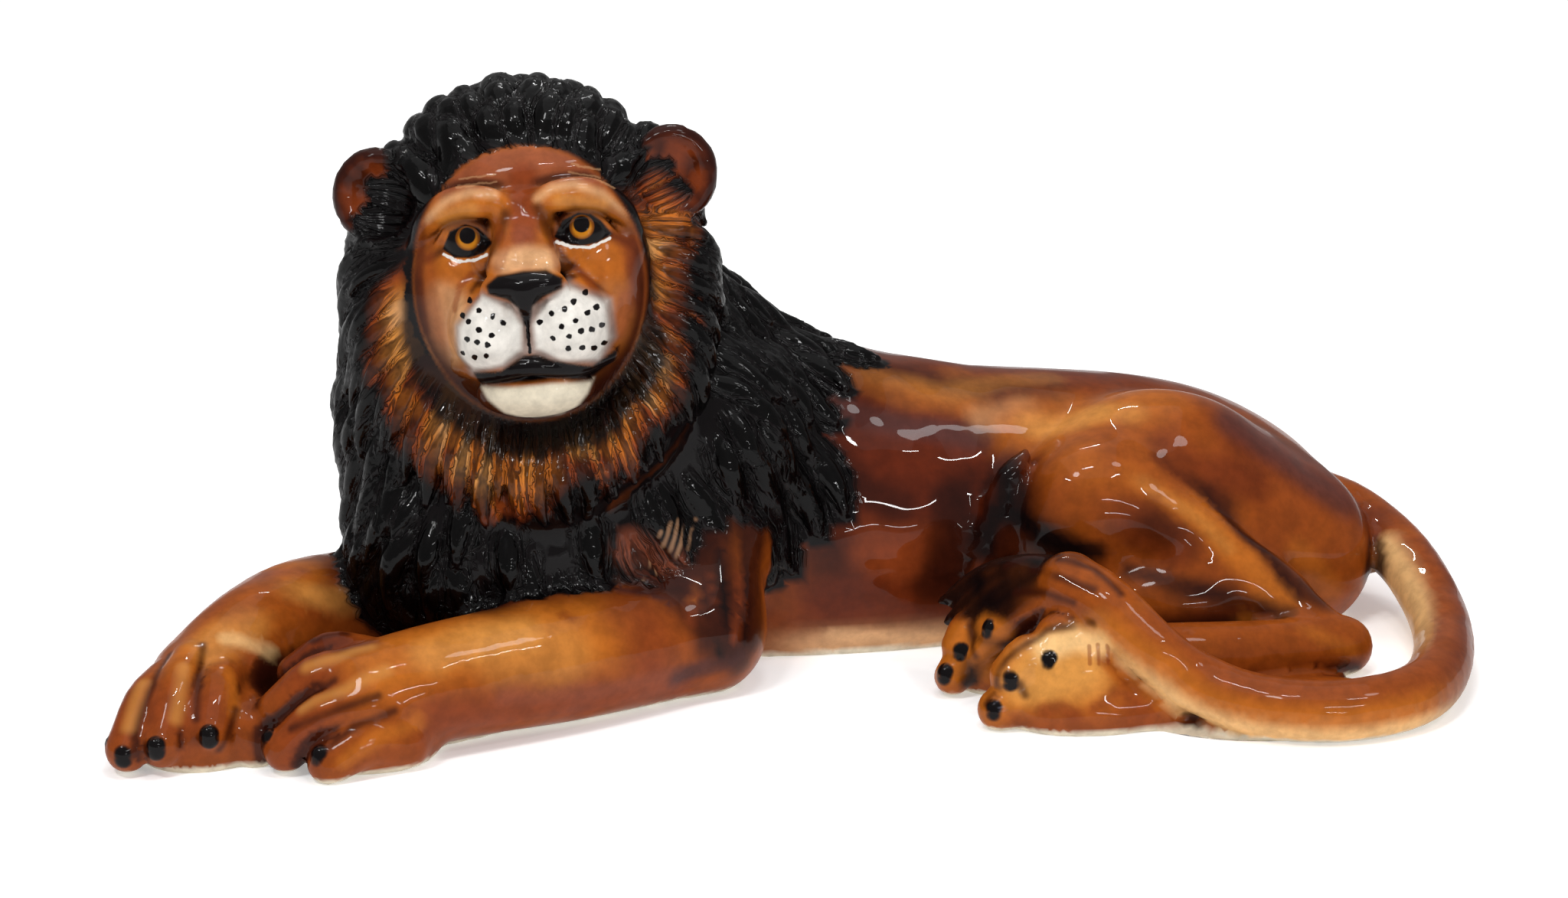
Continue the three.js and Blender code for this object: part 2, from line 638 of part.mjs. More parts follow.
// Thins the net by folding its cheapest edges, keeping the shape and more faces where care is high
function thin({ points, faces }, target, care) {
  const count = points.length / 3;
  const P = Float64Array.from(points);
  const F = Int32Array.from(faces);
  const alive = new Uint8Array(F.length / 3).fill(1);
  const around = Array.from({ length: count }, () => []);
  const Q = new Float64Array(count * 10);
  const stamp = new Int32Array(count);
  const cross = (i, a, b, c) => {
    const ux = b[0] - a[0];
    const uy = b[1] - a[1];
    const uz = b[2] - a[2];
    const vx = c[0] - a[0];
    const vy = c[1] - a[1];
    const vz = c[2] - a[2];
    return [uy * vz - uz * vy, uz * vx - ux * vz, ux * vy - uy * vx];
  };
  const at = (v) => [P[3 * v], P[3 * v + 1], P[3 * v + 2]];
  for (let f = 0; f < alive.length; f++) {
    const v = [F[3 * f], F[3 * f + 1], F[3 * f + 2]];
    const [a, b, c] = v.map(at);
    const m = cross(f, a, b, c);
    const size = Math.hypot(...m) + 1e-12;
    const nx = m[0] / size;
    const ny = m[1] / size;
    const nz = m[2] / size;
    const d = -(nx * a[0] + ny * a[1] + nz * a[2]);
    const w = size * care(...a);
    const q = [nx * nx, nx * ny, nx * nz, nx * d, ny * ny, ny * nz, ny * d, nz * nz, nz * d, d * d];
    for (const i of v) {
      around[i].push(f);
      for (let k = 0; k < 10; k++) Q[10 * i + k] += w * q[k];
    }
  }
  const cost = (q, x, y, z) =>
    q[0] * x * x + 2 * q[1] * x * y + 2 * q[2] * x * z + 2 * q[3] * x + q[4] * y * y +
    2 * q[5] * y * z + 2 * q[6] * y + q[7] * z * z + 2 * q[8] * z + q[9];
  const best = (a, b) => {
    const q = [];
    for (let k = 0; k < 10; k++) q.push(Q[10 * a + k] + Q[10 * b + k]);
    const pa = at(a);
    const pb = at(b);
    const mid = pa.map((v, k) => (v + pb[k]) / 2);
    const length = Math.hypot(pa[0] - pb[0], pa[1] - pb[1], pa[2] - pb[2]);
    const tiny = 1e-4 * (q[0] + q[4] + q[7]) + 1e-9;
    const A = [q[0] + tiny, q[4] + tiny, q[7] + tiny];
    const m = new THREE.Matrix3().set(A[0], q[1], q[2], q[1], A[1], q[5], q[2], q[5], A[2]);
    const r = new THREE.Vector3(tiny * mid[0] - q[3], tiny * mid[1] - q[6], tiny * mid[2] - q[8]);
    r.applyMatrix3(m.invert());
    let p = r.toArray();
    if (!(Math.hypot(p[0] - mid[0], p[1] - mid[1], p[2] - mid[2]) < 2 * length)) p = mid;
    return { p, c: Math.max(cost(q, ...p), 0) + 1e-6 * length * length, a, b };
  };
  const heap = [];
  const push = (e) => {
    heap.push(e);
    let i = heap.length - 1;
    while (i > 0) {
      const up = (i - 1) >> 1;
      if (heap[up].c <= heap[i].c) break;
      [heap[up], heap[i]] = [heap[i], heap[up]];
      i = up;
    }
  };
  const pop = () => {
    const top = heap[0];
    const last = heap.pop();
    if (heap.length) {
      heap[0] = last;
      let i = 0;
      for (;;) {
        let s = i;
        const l = 2 * i + 1;
        if (l < heap.length && heap[l].c < heap[s].c) s = l;
        if (l + 1 < heap.length && heap[l + 1].c < heap[s].c) s = l + 1;
        if (s === i) break;
        [heap[s], heap[i]] = [heap[i], heap[s]];
        i = s;
      }
    }
    return top;
  };
  const others = (v) => {
    const set = new Set();
    for (const f of around[v]) for (let k = 0; k < 3; k++) set.add(F[3 * f + k]);
    set.delete(v);
    return set;
  };
  const queue = (a, b) => push({ ...best(a, b), sa: stamp[a], sb: stamp[b] });
  for (let f = 0; f < alive.length; f++) {
    for (let k = 0; k < 3; k++) {
      const a = F[3 * f + k];
      const b = F[3 * f + ((k + 1) % 3)];
      if (a < b) queue(a, b);
    }
  }
  const flips = (v, other, p) => {
    for (const f of around[v]) {
      const ids = [F[3 * f], F[3 * f + 1], F[3 * f + 2]];
      if (ids.includes(other)) continue;
      const before = cross(0, ...ids.map(at));
      const after = cross(0, ...ids.map((i) => (i === v ? p : at(i))));
      const dot = before[0] * after[0] + before[1] * after[1] + before[2] * after[2];
      if (dot < 0.25 * Math.hypot(...before) * Math.hypot(...after)) return true;
      const [a, b, c] = ids.map((i) => (i === v ? p : at(i)));
      const longest = Math.max(Math.hypot(a[0] - b[0], a[1] - b[1], a[2] - b[2]),
        Math.hypot(b[0] - c[0], b[1] - c[1], b[2] - c[2]), Math.hypot(c[0] - a[0], c[1] - a[1], c[2] - a[2]));
      if (Math.hypot(...after) < 0.08 * longest * longest) return true;
    }
    return false;
  };
  let left = alive.length;
  while (left > target && heap.length) {
    const e = pop();
    const { a, b, p } = e;
    if (stamp[a] !== e.sa || stamp[b] !== e.sb) continue;
    const na = others(a);
    const nb = others(b);
    let shared = 0;
    for (const v of na) if (nb.has(v)) shared += 1;
    if (shared !== 2 || flips(a, b, p) || flips(b, a, p)) continue;
    for (let k = 0; k < 3; k++) P[3 * a + k] = p[k];
    for (let k = 0; k < 10; k++) Q[10 * a + k] += Q[10 * b + k];
    for (const f of around[b]) {
      const ids = [F[3 * f], F[3 * f + 1], F[3 * f + 2]];
      if (ids.includes(a)) {
        alive[f] = 0;
        left -= 1;
        for (const i of ids) if (i !== b) around[i] = around[i].filter((g) => g !== f);
      } else {
        F[3 * f + ids.indexOf(b)] = a;
        around[a].push(f);
      }
    }
    around[b] = [];
    stamp[a] += 1;
    stamp[b] += 1;
    for (const v of others(a)) {
      queue(a, v);
    }
  }
  const order = new Map();
  const outPoints = [];
  const outFaces = [];
  for (let f = 0; f < alive.length; f++) {
    if (!alive[f]) continue;
    for (let k = 0; k < 3; k++) {
      const v = F[3 * f + k];
      if (!order.has(v)) {
        order.set(v, outPoints.length / 3);
        outPoints.push(...at(v));
      }
      outFaces.push(order.get(v));
    }
  }
  return { points: outPoints, faces: outFaces };
}

const wasm = await Module();
wasm.setup();

function solid(points, faces) {
  return new wasm.Manifold(new wasm.Mesh({
    numProp: 3,
    vertProperties: Float32Array.from(points),
    triVerts: Uint32Array.from(faces),
  }));
}

function boxSolid(width, depth, height, x, y, z) {
  let box = new THREE.BoxGeometry(width, depth, height).translate(x, y, z);
  box.deleteAttribute('normal');
  box.deleteAttribute('uv');
  box = mergeVertices(box);
  return solid(box.attributes.position.array, box.index.array);
}

const clay = model();
const head = new THREE.Vector3(...HEAD_AT);
// The face keeps the finest facets, the paws and mane come next, and the smooth body needs fewest
const care = (x, y, z) => {
  const face = Math.hypot(x - head.x, (y - head.y) * 0.8, z - (head.z - 25));
  if (face < 95 && y < 5) return 9;
  if (z > 150 || x < -230) return 1.6;
  return 1;
};
const skin = thin(outerSkin(net(clay, NET)), TRIANGLES, care);
const above = boxSolid(2000, 2000, 1000, 0, 0, 500);
const cut = solid(skin.points, skin.faces).intersect(above).getMesh();
const cast = outerSkin({ points: cut.vertProperties, faces: cut.triVerts });

const geometry = new THREE.BufferGeometry();
geometry.setAttribute('position', new THREE.BufferAttribute(Float32Array.from(cast.points), 3));
geometry.setIndex(new THREE.BufferAttribute(Uint32Array.from(cast.faces), 1));
geometry.computeVertexNormals();

geometry.translate(-MIDDLE[0], -MIDDLE[1], 0);

const glaze = new THREE.MeshStandardMaterial({ color: 0xa4550f, roughness: 0.12, metalness: 0 });
const lion = new THREE.Mesh(geometry, glaze);
lion.name = 'lion';

const group = new THREE.Group();
group.add(lion);
export default group;
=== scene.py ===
# Glazed ceramic lion, lying down, about 0.8 m long, on a pale studio floor.
# It is slip-cast earthenware in one piece, airbrushed with stains and dipped in clear gloss glaze.
# Shapes are worked out in millimetres, in the frame they were modelled in, and moved to the
# object's own frame (metres, +Z up, head at -X, left flank at -Y) when the mesh is made.
import math

import bmesh
import bpy
import numpy as np
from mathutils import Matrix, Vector


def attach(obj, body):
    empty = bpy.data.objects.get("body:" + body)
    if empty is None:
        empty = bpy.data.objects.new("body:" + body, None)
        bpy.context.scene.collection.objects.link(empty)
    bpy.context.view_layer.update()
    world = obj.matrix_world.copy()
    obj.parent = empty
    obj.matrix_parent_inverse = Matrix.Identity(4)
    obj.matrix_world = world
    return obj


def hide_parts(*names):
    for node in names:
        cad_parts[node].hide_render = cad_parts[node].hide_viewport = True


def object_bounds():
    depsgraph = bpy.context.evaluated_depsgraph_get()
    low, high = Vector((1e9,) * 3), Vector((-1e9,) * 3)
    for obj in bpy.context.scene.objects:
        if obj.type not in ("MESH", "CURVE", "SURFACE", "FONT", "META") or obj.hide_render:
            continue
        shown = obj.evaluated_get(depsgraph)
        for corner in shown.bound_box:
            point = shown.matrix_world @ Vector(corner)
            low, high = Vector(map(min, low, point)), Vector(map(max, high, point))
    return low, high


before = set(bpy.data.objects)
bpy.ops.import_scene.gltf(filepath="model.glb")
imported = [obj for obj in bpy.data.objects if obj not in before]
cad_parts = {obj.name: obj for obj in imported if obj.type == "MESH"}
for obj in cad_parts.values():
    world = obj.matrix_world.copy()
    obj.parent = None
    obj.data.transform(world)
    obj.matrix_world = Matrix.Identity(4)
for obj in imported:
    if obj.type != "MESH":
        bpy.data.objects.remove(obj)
cad_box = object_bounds()

# Head
HEAD_AT = (-160, -30, 268)  # midway between the eyes
HEAD_YAW = -10  # degrees, turned to the viewer's left
HEAD_PITCH = 10  # degrees, nose up
HEAD_ROLL = 4.5  # degrees, tilted towards its right shoulder
FACE_WIDE = 62  # half width of the bare face
FACE_TALL = 74  # half height, from the hairline to under the chin
FACE_MIDDLE = -28  # centre of the bare face, below the eyes
EYE_APART = 30.5  # from the middle line to each eye
EYE_RADIUS = 14
EAR_RIGHT = 81  # middle of an ear, to the side of the face and above the eyes
EAR_UP = 23.5
EAR_BOWL = (21, 22)  # half width and half height of its bowl
FACE_FRONT = -20  # the front of the face lies further out than this, counted from the eyes
FACE_BACK = -45  # and the whole face further out than this

# Mane
RUFF_LOCKS = 36  # locks in each ring around the face
RUFF_RINGS = 2
RUFF_WIDE = 5.3  # half width of a lock in the inner ring
RUFF_LENGTH = 50
CREST_ROWS = 4
CREST_LOCKS = 9  # curls in the first row
CREST_SPAN = 52  # degrees to each side of the middle
CURL_LENGTH = 33
CURL_WIDE = 8.6
CURL_SHAPE = (0.7, 1, 1.08, 1, 0.6)  # width along a curl
LOCK_SPACING = 18.5  # between the roots of the mane's locks
LOCK_WIDE = 8  # half width of a lock
LOCK_LENGTH = 44

# Claws, a row for each of the far forepaw, near forepaw, near hind foot and far hind foot
CLAW_SIZE = [5.2, 4.6, 6.8]
CLAWS = [
    [-391, -97, 14], [-386, -109, 13], [-369, -114, 18], [-341, -112, 22],
    [-309, -113, 18], [-284, -134, 15],
    [83, -122, 13], [92, -120, 29], [113, -121, 39],
    [68, -65, 14], [77, -63, 26], [91, -74, 42],
]

# Tail
TAIL_RADIUS = 17
TUFT_LOCKS = 5
FLANK_LOCKS = 4  # folds of longer hair in front of the thigh

# Surface
MIDDLE = (-9, 0)  # middle of the lion's footprint, moved to the origin
FAR = 40.0  # distance given to points that no form is near
MELT_REACH = 12  # how far round a form its melting is worked out
NET = 5.2  # spacing of the first net over the clay
KEPT_BELOW = 5  # clay left under the table plane before the flat cut
SPLIT_ROUNDS = 6  # times that long edges are split
EVENING = 0.4  # share of the way that a point slides to the middle of its neighbours
STRANDS = 3  # to a lock
STRAND_DEPTH = 1.2
CREASE_REACH = 11  # how far out a hollow is felt for
RAW_RIM = 3.5  # height of the unglazed edge at the foot

# Longest edge of the mesh on each part of the surface, and across the strands for hair and ruff
EDGES = {"body": 10.0, "foot": 12, "paw": 4, "hair": 3.1, "ruff": 2.4, "face": 2.6, "muzzle": 1.8, "eye": 1.2}

# Glaze, a clear glass: its refraction, and the scale of each pattern in it and under it
GLAZE_IOR = 1.5
WAVES_PER_MM = 0.032  # soft waves about 30 mm apart
WAVE_HEIGHT = 3.2  # over the full range of the noise
STRAND_DIP = -0.55  # between the strands
AIRBRUSH_PER_MM = 0.11  # uneven stain, about 9 mm from patch to patch
SHAKE_PER_MM = 0.35  # a hand's wobble in the fine face lines, about 3 mm long
SHAKE = 1.8  # width of that wobble

# Studio: each panel's place and size in metres and its power in watts, then two far lamps
WORLD_LIGHT = 0.38
FLOOR_WHITE = 0.9
FLOOR_GLOW = 0.3
PANELS = [
    ("ceiling_softbox", (0.1, 0, 2.6), 3.6, 2.6, 18),
    ("front_right_strip", (0.81, -2.21, 1.1), 0.8, 0.03, 7),
    ("right_strip", (1.12, -1.24, 1.99), 0.4, 0.03, 5),
    ("top_strip", (0, -0.8, 2.47), 0.5, 0.03, 8),
    ("left_strip", (-1.28, -1.07, 1.99), 0.4, 0.03, 10),
    ("back_strip", (0.3, 1.5, 2.1), 0.6, 0.03, 8),
    ("low_strip", (0.66, -2.48, 0.36), 0.5, 0.02, 3),
]
PANELS_AIM = (0, 0, 0.12)
FAR_LAMPS = [
    ("far_left_lamp", (-1, -1.2, 2.6), 0.55),
    ("far_right_lamp", (1.2, -0.6, 2.4), 0.25),
]
FAR_LAMP_ANGLE = 9  # degrees across

# Camera
CAMERA_AZIMUTH = -10  # degrees, round from the lion's left flank towards its head
CAMERA_HEIGHT = 17
CAMERA_AWAY = 2200
CAMERA_TARGET = (-23, -112, 165)
LENS = 95
SENSOR_WIDE = 36


def smooth(x, low, high):
    t = np.clip((x - low) / (high - low), 0, 1)
    return t * t * (3 - 2 * t)


def unit(v):
    return v / (np.linalg.norm(v, axis=-1, keepdims=True) + 1e-12)


# A repeatable scatter between 0 and 1 from whole numbers
def scatter(n):
    s = np.sin(np.asarray(n) * 12.9898 + 4.1414) * 43758.5453
    return s - np.floor(s)


# Points along a smooth curve through the given rows, the first and last steps reflected
def smooth_run(rows, steps):
    rows = np.asarray(rows, float)
    padded = np.vstack([2 * rows[0] - rows[1], rows, 2 * rows[-1] - rows[-2]])
    count = (len(rows) - 1) * steps
    out = []
    for i in range(count + 1):
        at = i * (len(rows) - 1) / count
        k = min(int(at), len(rows) - 2)
        t = at - k
        a, b, c, d = padded[k:k + 4]
        slope_in = (c - a) / 2
        slope_out = (d - b) / 2
        out.append((2 * b - 2 * c + slope_in + slope_out) * t ** 3
                   + (3 * c - 3 * b - 2 * slope_in - slope_out) * t ** 2 + slope_in * t + b)
    return np.array(out)


# An egg-shaped lump and a tapering rope, each with its signed distance
class Egg:
    def __init__(self, centre, axes, size):
        self.centre = centre
        self.axes = axes
        self.size = np.asarray(size, float)
        half = np.sqrt(((axes * self.size) ** 2).sum(1))
        self.low = centre - half
        self.high = centre + half

    def distance(self, p):
        q = (p - self.centre) @ self.axes / self.size
        k0 = np.sqrt((q * q).sum(-1)) + 1e-9
        q = q / self.size
        k1 = np.sqrt((q * q).sum(-1)) + 1e-12
        return k0 * (k0 - 1) / k1


class Rope:
    def __init__(self, path, radii):
        self.path = path
        self.radii = radii
        self.low = (path - radii[:, None]).min(0)
        self.high = (path + radii[:, None]).max(0)

    def distance(self, p):
        best = np.full(p.shape[:-1], 1e9)
        for i in range(len(self.radii) - 1):
            a = self.path[i]
            ab = self.path[i + 1] - a
            ap = p - a
            t = np.clip(ap @ ab / (ab @ ab + 1e-12), 0, 1)
            off = ap - t[..., None] * ab
            r = self.radii[i] + (self.radii[i + 1] - self.radii[i]) * t
            best = np.minimum(best, np.sqrt((off * off).sum(-1)) - r)
        return best


# The clay: a list of forms, each melted into or cut from what came before it
class Clay:
    def __init__(self, forms=()):
        self.forms = list(forms)
        self.axes = np.eye(3)
        self.origin = np.zeros(3)
        self.side = 1  # -1 mirrors the next forms across the frame's middle plane

    def place(self, p):
        return self.axes @ (np.array(p, float) * (self.side, 1, 1)) + self.origin

    def add(self, form, blend, cut=False):
        form.low = form.low - blend - MELT_REACH
        form.high = form.high + blend + MELT_REACH
        form.blend = max(blend, 1e-6)
        form.cut = cut
        self.forms.append(form)

    # A rounded lump: centre, three half sizes, and a turn in degrees about one of the frame's axes
    def egg(self, at, size, blend, turn=None, cut=False):
        axes = np.eye(3)
        if turn:
            sign = 1 if turn[0] == 0 else self.side
            angle = math.radians(turn[1] * sign)
            u, v = (turn[0] + 1) % 3, (turn[0] + 2) % 3
            axes[u, u] = axes[v, v] = math.cos(angle)
            axes[v, u] = math.sin(angle)
            axes[u, v] = -math.sin(angle)
        self.add(Egg(self.place(at), self.axes @ axes, size), blend, cut)

    def hollow(self, at, size, blend, turn=None):
        self.egg(at, size, blend, turn, True)

    # A tapering tube through points [x, y, z, radius], run as a smooth curve
    def rope(self, points, blend, steps=5):
        rows = [[*self.place(p[:3]), p[3]] for p in points]
        run = smooth_run(rows, steps)
        self.add(Rope(run[:, :3], run[:, 3]), blend)

    @staticmethod
    def join(form, d, p):
        b = form.distance(p)
        if form.cut:
            b = -b
        h = np.maximum(form.blend - np.abs(d - b), 0) / form.blend
        melt = h * h * form.blend / 4
        return np.maximum(d, b) + melt if form.cut else np.minimum(d, b) - melt

    # Signed distance to the clay at many points, block by block with the forms near each block
    def at(self, p):
        block = 40
        cell = np.floor(p / block).astype(int)
        keys = (cell[:, 0] + 512) * 2 ** 20 + (cell[:, 1] + 512) * 2 ** 10 + cell[:, 2] + 512
        order = np.argsort(keys, kind="stable")
        starts = np.flatnonzero(np.diff(keys[order], prepend=-1))
        lows = np.array([f.low for f in self.forms])
        highs = np.array([f.high for f in self.forms])
        d = np.full(len(p), FAR)
        for ids in np.split(order, starts[1:]):
            q = p[ids]
            near = np.flatnonzero(((lows < q.max(0)) & (highs > q.min(0))).all(1))
            part = d[ids]
            for k in near:
                form = self.forms[k]
                inside = ((q >= form.low) & (q <= form.high)).all(1)
                if inside.all():
                    part = self.join(form, part, q)
                elif inside.any():
                    part[inside] = self.join(form, part[inside], q[inside])
            d[ids] = part
        return d

    # Distance and slope together
    def feel(self, p):
        e = 0.4
        corners = np.array([[1, -1, -1], [-1, -1, 1], [-1, 1, -1], [1, 1, 1]])
        d = self.at((p[:, None, :] + corners * e).reshape(-1, 3)).reshape(-1, 4)
        return d.mean(1), d @ corners / (4 * e)

    # Moves points onto the clay's surface
    def settle(self, p, steps=4, most=8):
        for _ in range(steps):
            d, g = self.feel(p)
            d = np.clip(d / np.maximum((g * g).sum(1), 0.05), -most, most)
            p = p - g * d[:, None]
        return p


# Frame of the head: the columns are right, up and out of the face
def head_frame():
    yaw = math.radians(HEAD_YAW)
    pitch = math.radians(HEAD_PITCH)
    roll = math.radians(HEAD_ROLL)
    level = math.cos(pitch)
    out = np.array([math.sin(yaw) * level, -math.cos(yaw) * level, math.sin(pitch)])
    right = np.array([math.cos(yaw), math.sin(yaw), 0])
    up = np.cross(out, right)
    turned_right = right * math.cos(roll) + up * math.sin(roll)
    turned_up = up * math.cos(roll) - right * math.sin(roll)
    return np.stack([turned_right, turned_up, out], 1)


HEAD_AXES = head_frame()


def to_head(p):
    return (p - HEAD_AT) @ HEAD_AXES


def from_head(q):
    return np.asarray(q) @ HEAD_AXES.T + HEAD_AT


# How far points are from the middle of the face: 1 on the hairline
def face_reach(q):
    return np.hypot(q[:, 0] / FACE_WIDE, (q[:, 1] - FACE_MIDDLE) / FACE_TALL)


def add_trunk(clay):
    clay.egg([-30, 92, 60], [140, 82, 104], 1)  # ribs
    clay.egg([100, 92, 50], [150, 82, 93], 60)  # belly
    clay.egg([224, 98, 42], [107, 76, 79], 50)  # hips


def add_haunch(clay):
    clay.egg([212, 42, 62], [86, 62, 78], 7)  # thigh
    clay.egg([272, 56, 44], [62, 66, 57], 24)  # rump
    clay.egg([303, 44, 38], [43, 48, 46], 14)
    clay.egg([166, 4, 76], [42, 34, 47], 22)  # knee
    clay.rope([[176, 2, 90, 22], [204, -12, 78, 24], [242, -24, 53, 21], [286, -50, 20, 17]], 7)  # calf
    clay.rope([
        [299, -60, 15, 17], [240, -74, 19, 18.5], [175, -84, 23, 20], [140, -90, 24, 20],
    ], 5)  # hock to foot
    clay.egg([224, -28, 36], [62, 24, 28], 12)  # flat of the shank
    clay.egg([215, -46, -4], [90, 40, 24], 10)  # webs of clay that close the gaps under the leg
    clay.egg([245, -112, -4], [80, 50, 16], 6)
    for i in range(FLANK_LOCKS):
        z = 114 - 14 * i
        clay.rope([
            [130 - i, 15 - 2 * i, z, 4], [119 - 2 * i, 9 - 2 * i, z - 10, 7],
            [104 - 4 * i, 8 - 2 * i, z - 26, 2],
        ], 4)


# Toes run from a knuckle to a tip: (knuckle, tip, two radii)
def add_toes(clay, toes):
    for knuckle, tip, thick, thin in toes:
        middle = [(a + b) / 2 for a, b in zip(knuckle, tip)]
        middle[2] += 6
        clay.rope([knuckle + [thick], middle + [(thick + thin) / 2 + 1], tip + [thin]], 2.5, 3)


def add_hind_feet(clay):
    clay.rope([[170, -10, 20, 24], [120, -40, 20, 24]], 8)
    clay.egg([102, -48, 18], [31, 25, 26], 6)  # far foot
    add_toes(clay, [
        [[90, -52, 13], [73, -60, 11], 11.5, 10.5],
        [[92, -47, 30], [78, -55, 27], 11.5, 10.5],
        [[105, -42, 40], [91, -52, 41], 11, 10],
    ])
    clay.egg([130, -104, 22], [38, 29, 31], 8)  # near foot
    add_toes(clay, [
        [[114, -108, 12], [87, -115, 11], 13, 12],
        [[116, -106, 33], [94, -112, 29], 13, 12],
        [[132, -100, 44], [115, -110, 43], 12, 11],
    ])
    clay.egg([143, -118, 8], [48, 22, 17], 10)
    clay.egg([134, -103, 36], [24, 17, 20], 8)
    clay.egg([170, -120, 11], [34, 15, 17], 6)  # clay between foot and tail


def add_tail(clay):
    r = TAIL_RADIUS
    clay.rope([
        [318, 92, 52, r + 6], [346, 76, 46, r + 2.5], [361, 20, 37, r + 0.5], [360, -48, 22, r],
        [340, -110, 17.5, r], [310, -150, 16.5, r], [264, -164, 16.5, r], [222, -151, 18, r],
        [191, -134, 28, r - 0.5], [168, -124, 45, r - 0.5], [150, -107, 62, r], [132, -87, 71, r + 1],
    ], 5)
    for i in range(TUFT_LOCKS):
        t = i / (TUFT_LOCKS - 1) - 0.5
        clay.rope([
            [146, -100 + 8 * t, 66 + 4 * t, 13], [124, -80 + 16 * t, 66 + 10 * t, 12],
            [104, -64 + 26 * t, 56 + 20 * t, 10], [88, -52 + 34 * t, 42 + 26 * t, 7],
            [77 - 6 * t, -46 + 40 * t, 28 + 30 * t, 3],
        ], 3)


def add_mane_mass(clay):
    clay.egg([-150, 42, 222], [100, 76, 76], 20)
    clay.egg([-152, 40, 145], [104, 74, 96], 30)
    clay.egg([-158, 14, 80], [97, 62, 62], 25)
    clay.rope([[-92, 82, 188, 51], [-44, 90, 150, 52], [-2, 93, 114, 48], [16, 94, 108, 49]], 24)
    clay.egg([-66, 44, 124], [74, 60, 60], 20)


def add_forelegs(clay):
    clay.rope([
        [-180, 60, 20, 40], [-235, 42, 28, 40], [-279, 18, 38, 36], [-311, -18, 40, 32],
        [-340, -50, 27, 31],
    ], 12)
    clay.egg([-343, -76, 13], [38, 34, 30], 6, [2, 20])  # far paw
    add_toes(clay, [
        [[-367, -60, 22], [-385, -90, 12], 10, 10],
        [[-362, -62, 37], [-384, -101, 13], 11, 11.5],
        [[-347, -61, 46], [-366, -104, 16], 11.5, 12],
        [[-330, -62, 40], [-340, -102, 20], 11, 11.5],
    ])
    clay.rope([[-40, 34, 96, 34], [-54, -2, 64, 30], [-62, -22, 34, 32]], 16)  # near upper arm
    clay.rope([[-64, -14, 32, 37], [-145, -58, 35, 35], [-215, -86, 36, 32], [-255, -98, 32, 31]], 12)
    clay.egg([-254, -98, 17], [41, 33, 31], 6, [2, 12])  # near paw
    add_toes(clay, [
        [[-238, -116, 14], [-279, -129, 10], 14, 12],
        [[-257, -117, 38], [-301, -114, 13], 12.5, 12],
        [[-262, -98, 50], [-303, -96, 29], 12, 11.5],
        [[-256, -78, 50], [-292, -74, 41], 11.5, 10.5],
    ])
    clay.egg([-316, -84, 10], [14, 24, 23], 6)  # clay between the paws
    clay.egg([-250, -40, 0], [80, 50, 26], 16)  # low web between the legs


def add_skull(clay):
    clay.egg([-4, 14, -66], [70, 61, 50], 16)  # crown under the hair
    clay.egg([0, -30, -74], [82, 80, 46], 16)
    for clay.side in (1, -1):
        clay.rope([
            [62, 22, -70, 20], [75, -24, -62, 22], [70, -72, -50, 24], [50, -108, -38, 26],
            [18, -130, -32, 28], [0, -133, -32, 28],
        ], 12)


def add_face(clay):
    clay.egg([0, -2, -48], [63, 60, 46], 6)
    clay.egg([0, 30, -32], [46, 18, 27], 10)  # forehead
    clay.egg([0, -56, -26], [46, 42, 44], 12)  # jaw
    for clay.side in (1, -1):
        clay.egg([36, -30, -30], [27, 36, 34], 12)  # cheek
        clay.egg([51, -15, -24], [13, 12, 13], 8)
        clay.hollow([EYE_APART + 1, -2, 6], [16, 10, 9], 5)
        clay.egg([13, 4, -5], [7, 10, 8], 4)  # inner corner of the eye
        clay.rope([
            [7, 14, 3, 6.5], [19, 19, 4, 8.5], [37, 18.5, -3, 9], [52, 9, -13, 7.5], [59, -4, -20, 5],
        ], 4)  # brow
        clay.egg([EYE_APART, -1.5, -12], [EYE_RADIUS + 0.5, EYE_RADIUS, EYE_RADIUS], 1.5)
        clay.rope([
            [15.5, -6, -4, 2.2], [22, -10.5, -2.2, 2.3], [32, -12.3, -2.2, 2.3], [40, -10, -6, 2.2],
            [47, -5, -12, 2],
        ], 2)  # lower lid
        clay.rope([
            [15.5, -6, -4, 2.2], [21, 4.5, -0.7, 2.8], [30, 9.5, -0.7, 3], [39, 6.5, -3.5, 2.7],
            [48, -4.5, -11.5, 2.2],
        ], 2)  # upper lid
        clay.rope([[5, 14, -4, 9], [6, 0, 8, 9.5], [9, -17, 22, 11]], 6)  # bridge
        clay.egg([19, -13, 1], [9, 9, 9], 6)  # side of the nose
        clay.egg([20, -49, 13], [20.5, 22.5, 29], 6)  # whisker pad
        clay.egg([28, -48, 2], [14.5, 22, 24], 8)
        clay.rope([[14, -24, 30, 7], [20, -29, 30, 4], [14, -36, 34, 3]], 3)  # wing of the nose
        add_ear(clay)
    clay.side = 1
    clay.egg([0, -46, 16], [16, 22, 22], 4)
    clay.egg([0, -25, 33], [21.5, 8.5, 11.5], 3)  # nose
    clay.rope([[0, -28, 36, 9], [0, -36, 36, 5.5], [0, -44, 31, 3]], 2)
    clay.hollow([0, -54, 44], [2.6, 15, 12], 3)  # groove between the whisker pads
    clay.egg([0, -84, 5], [32, 14.5, 22], 4)  # chin
    clay.rope([
        [-41, -69, -4, 4.5], [-24, -72.5, 16, 4.5], [0, -69, 27, 5], [24, -72.5, 16, 4.5],
        [41, -69, -4, 4.5],
    ], 3)  # lip


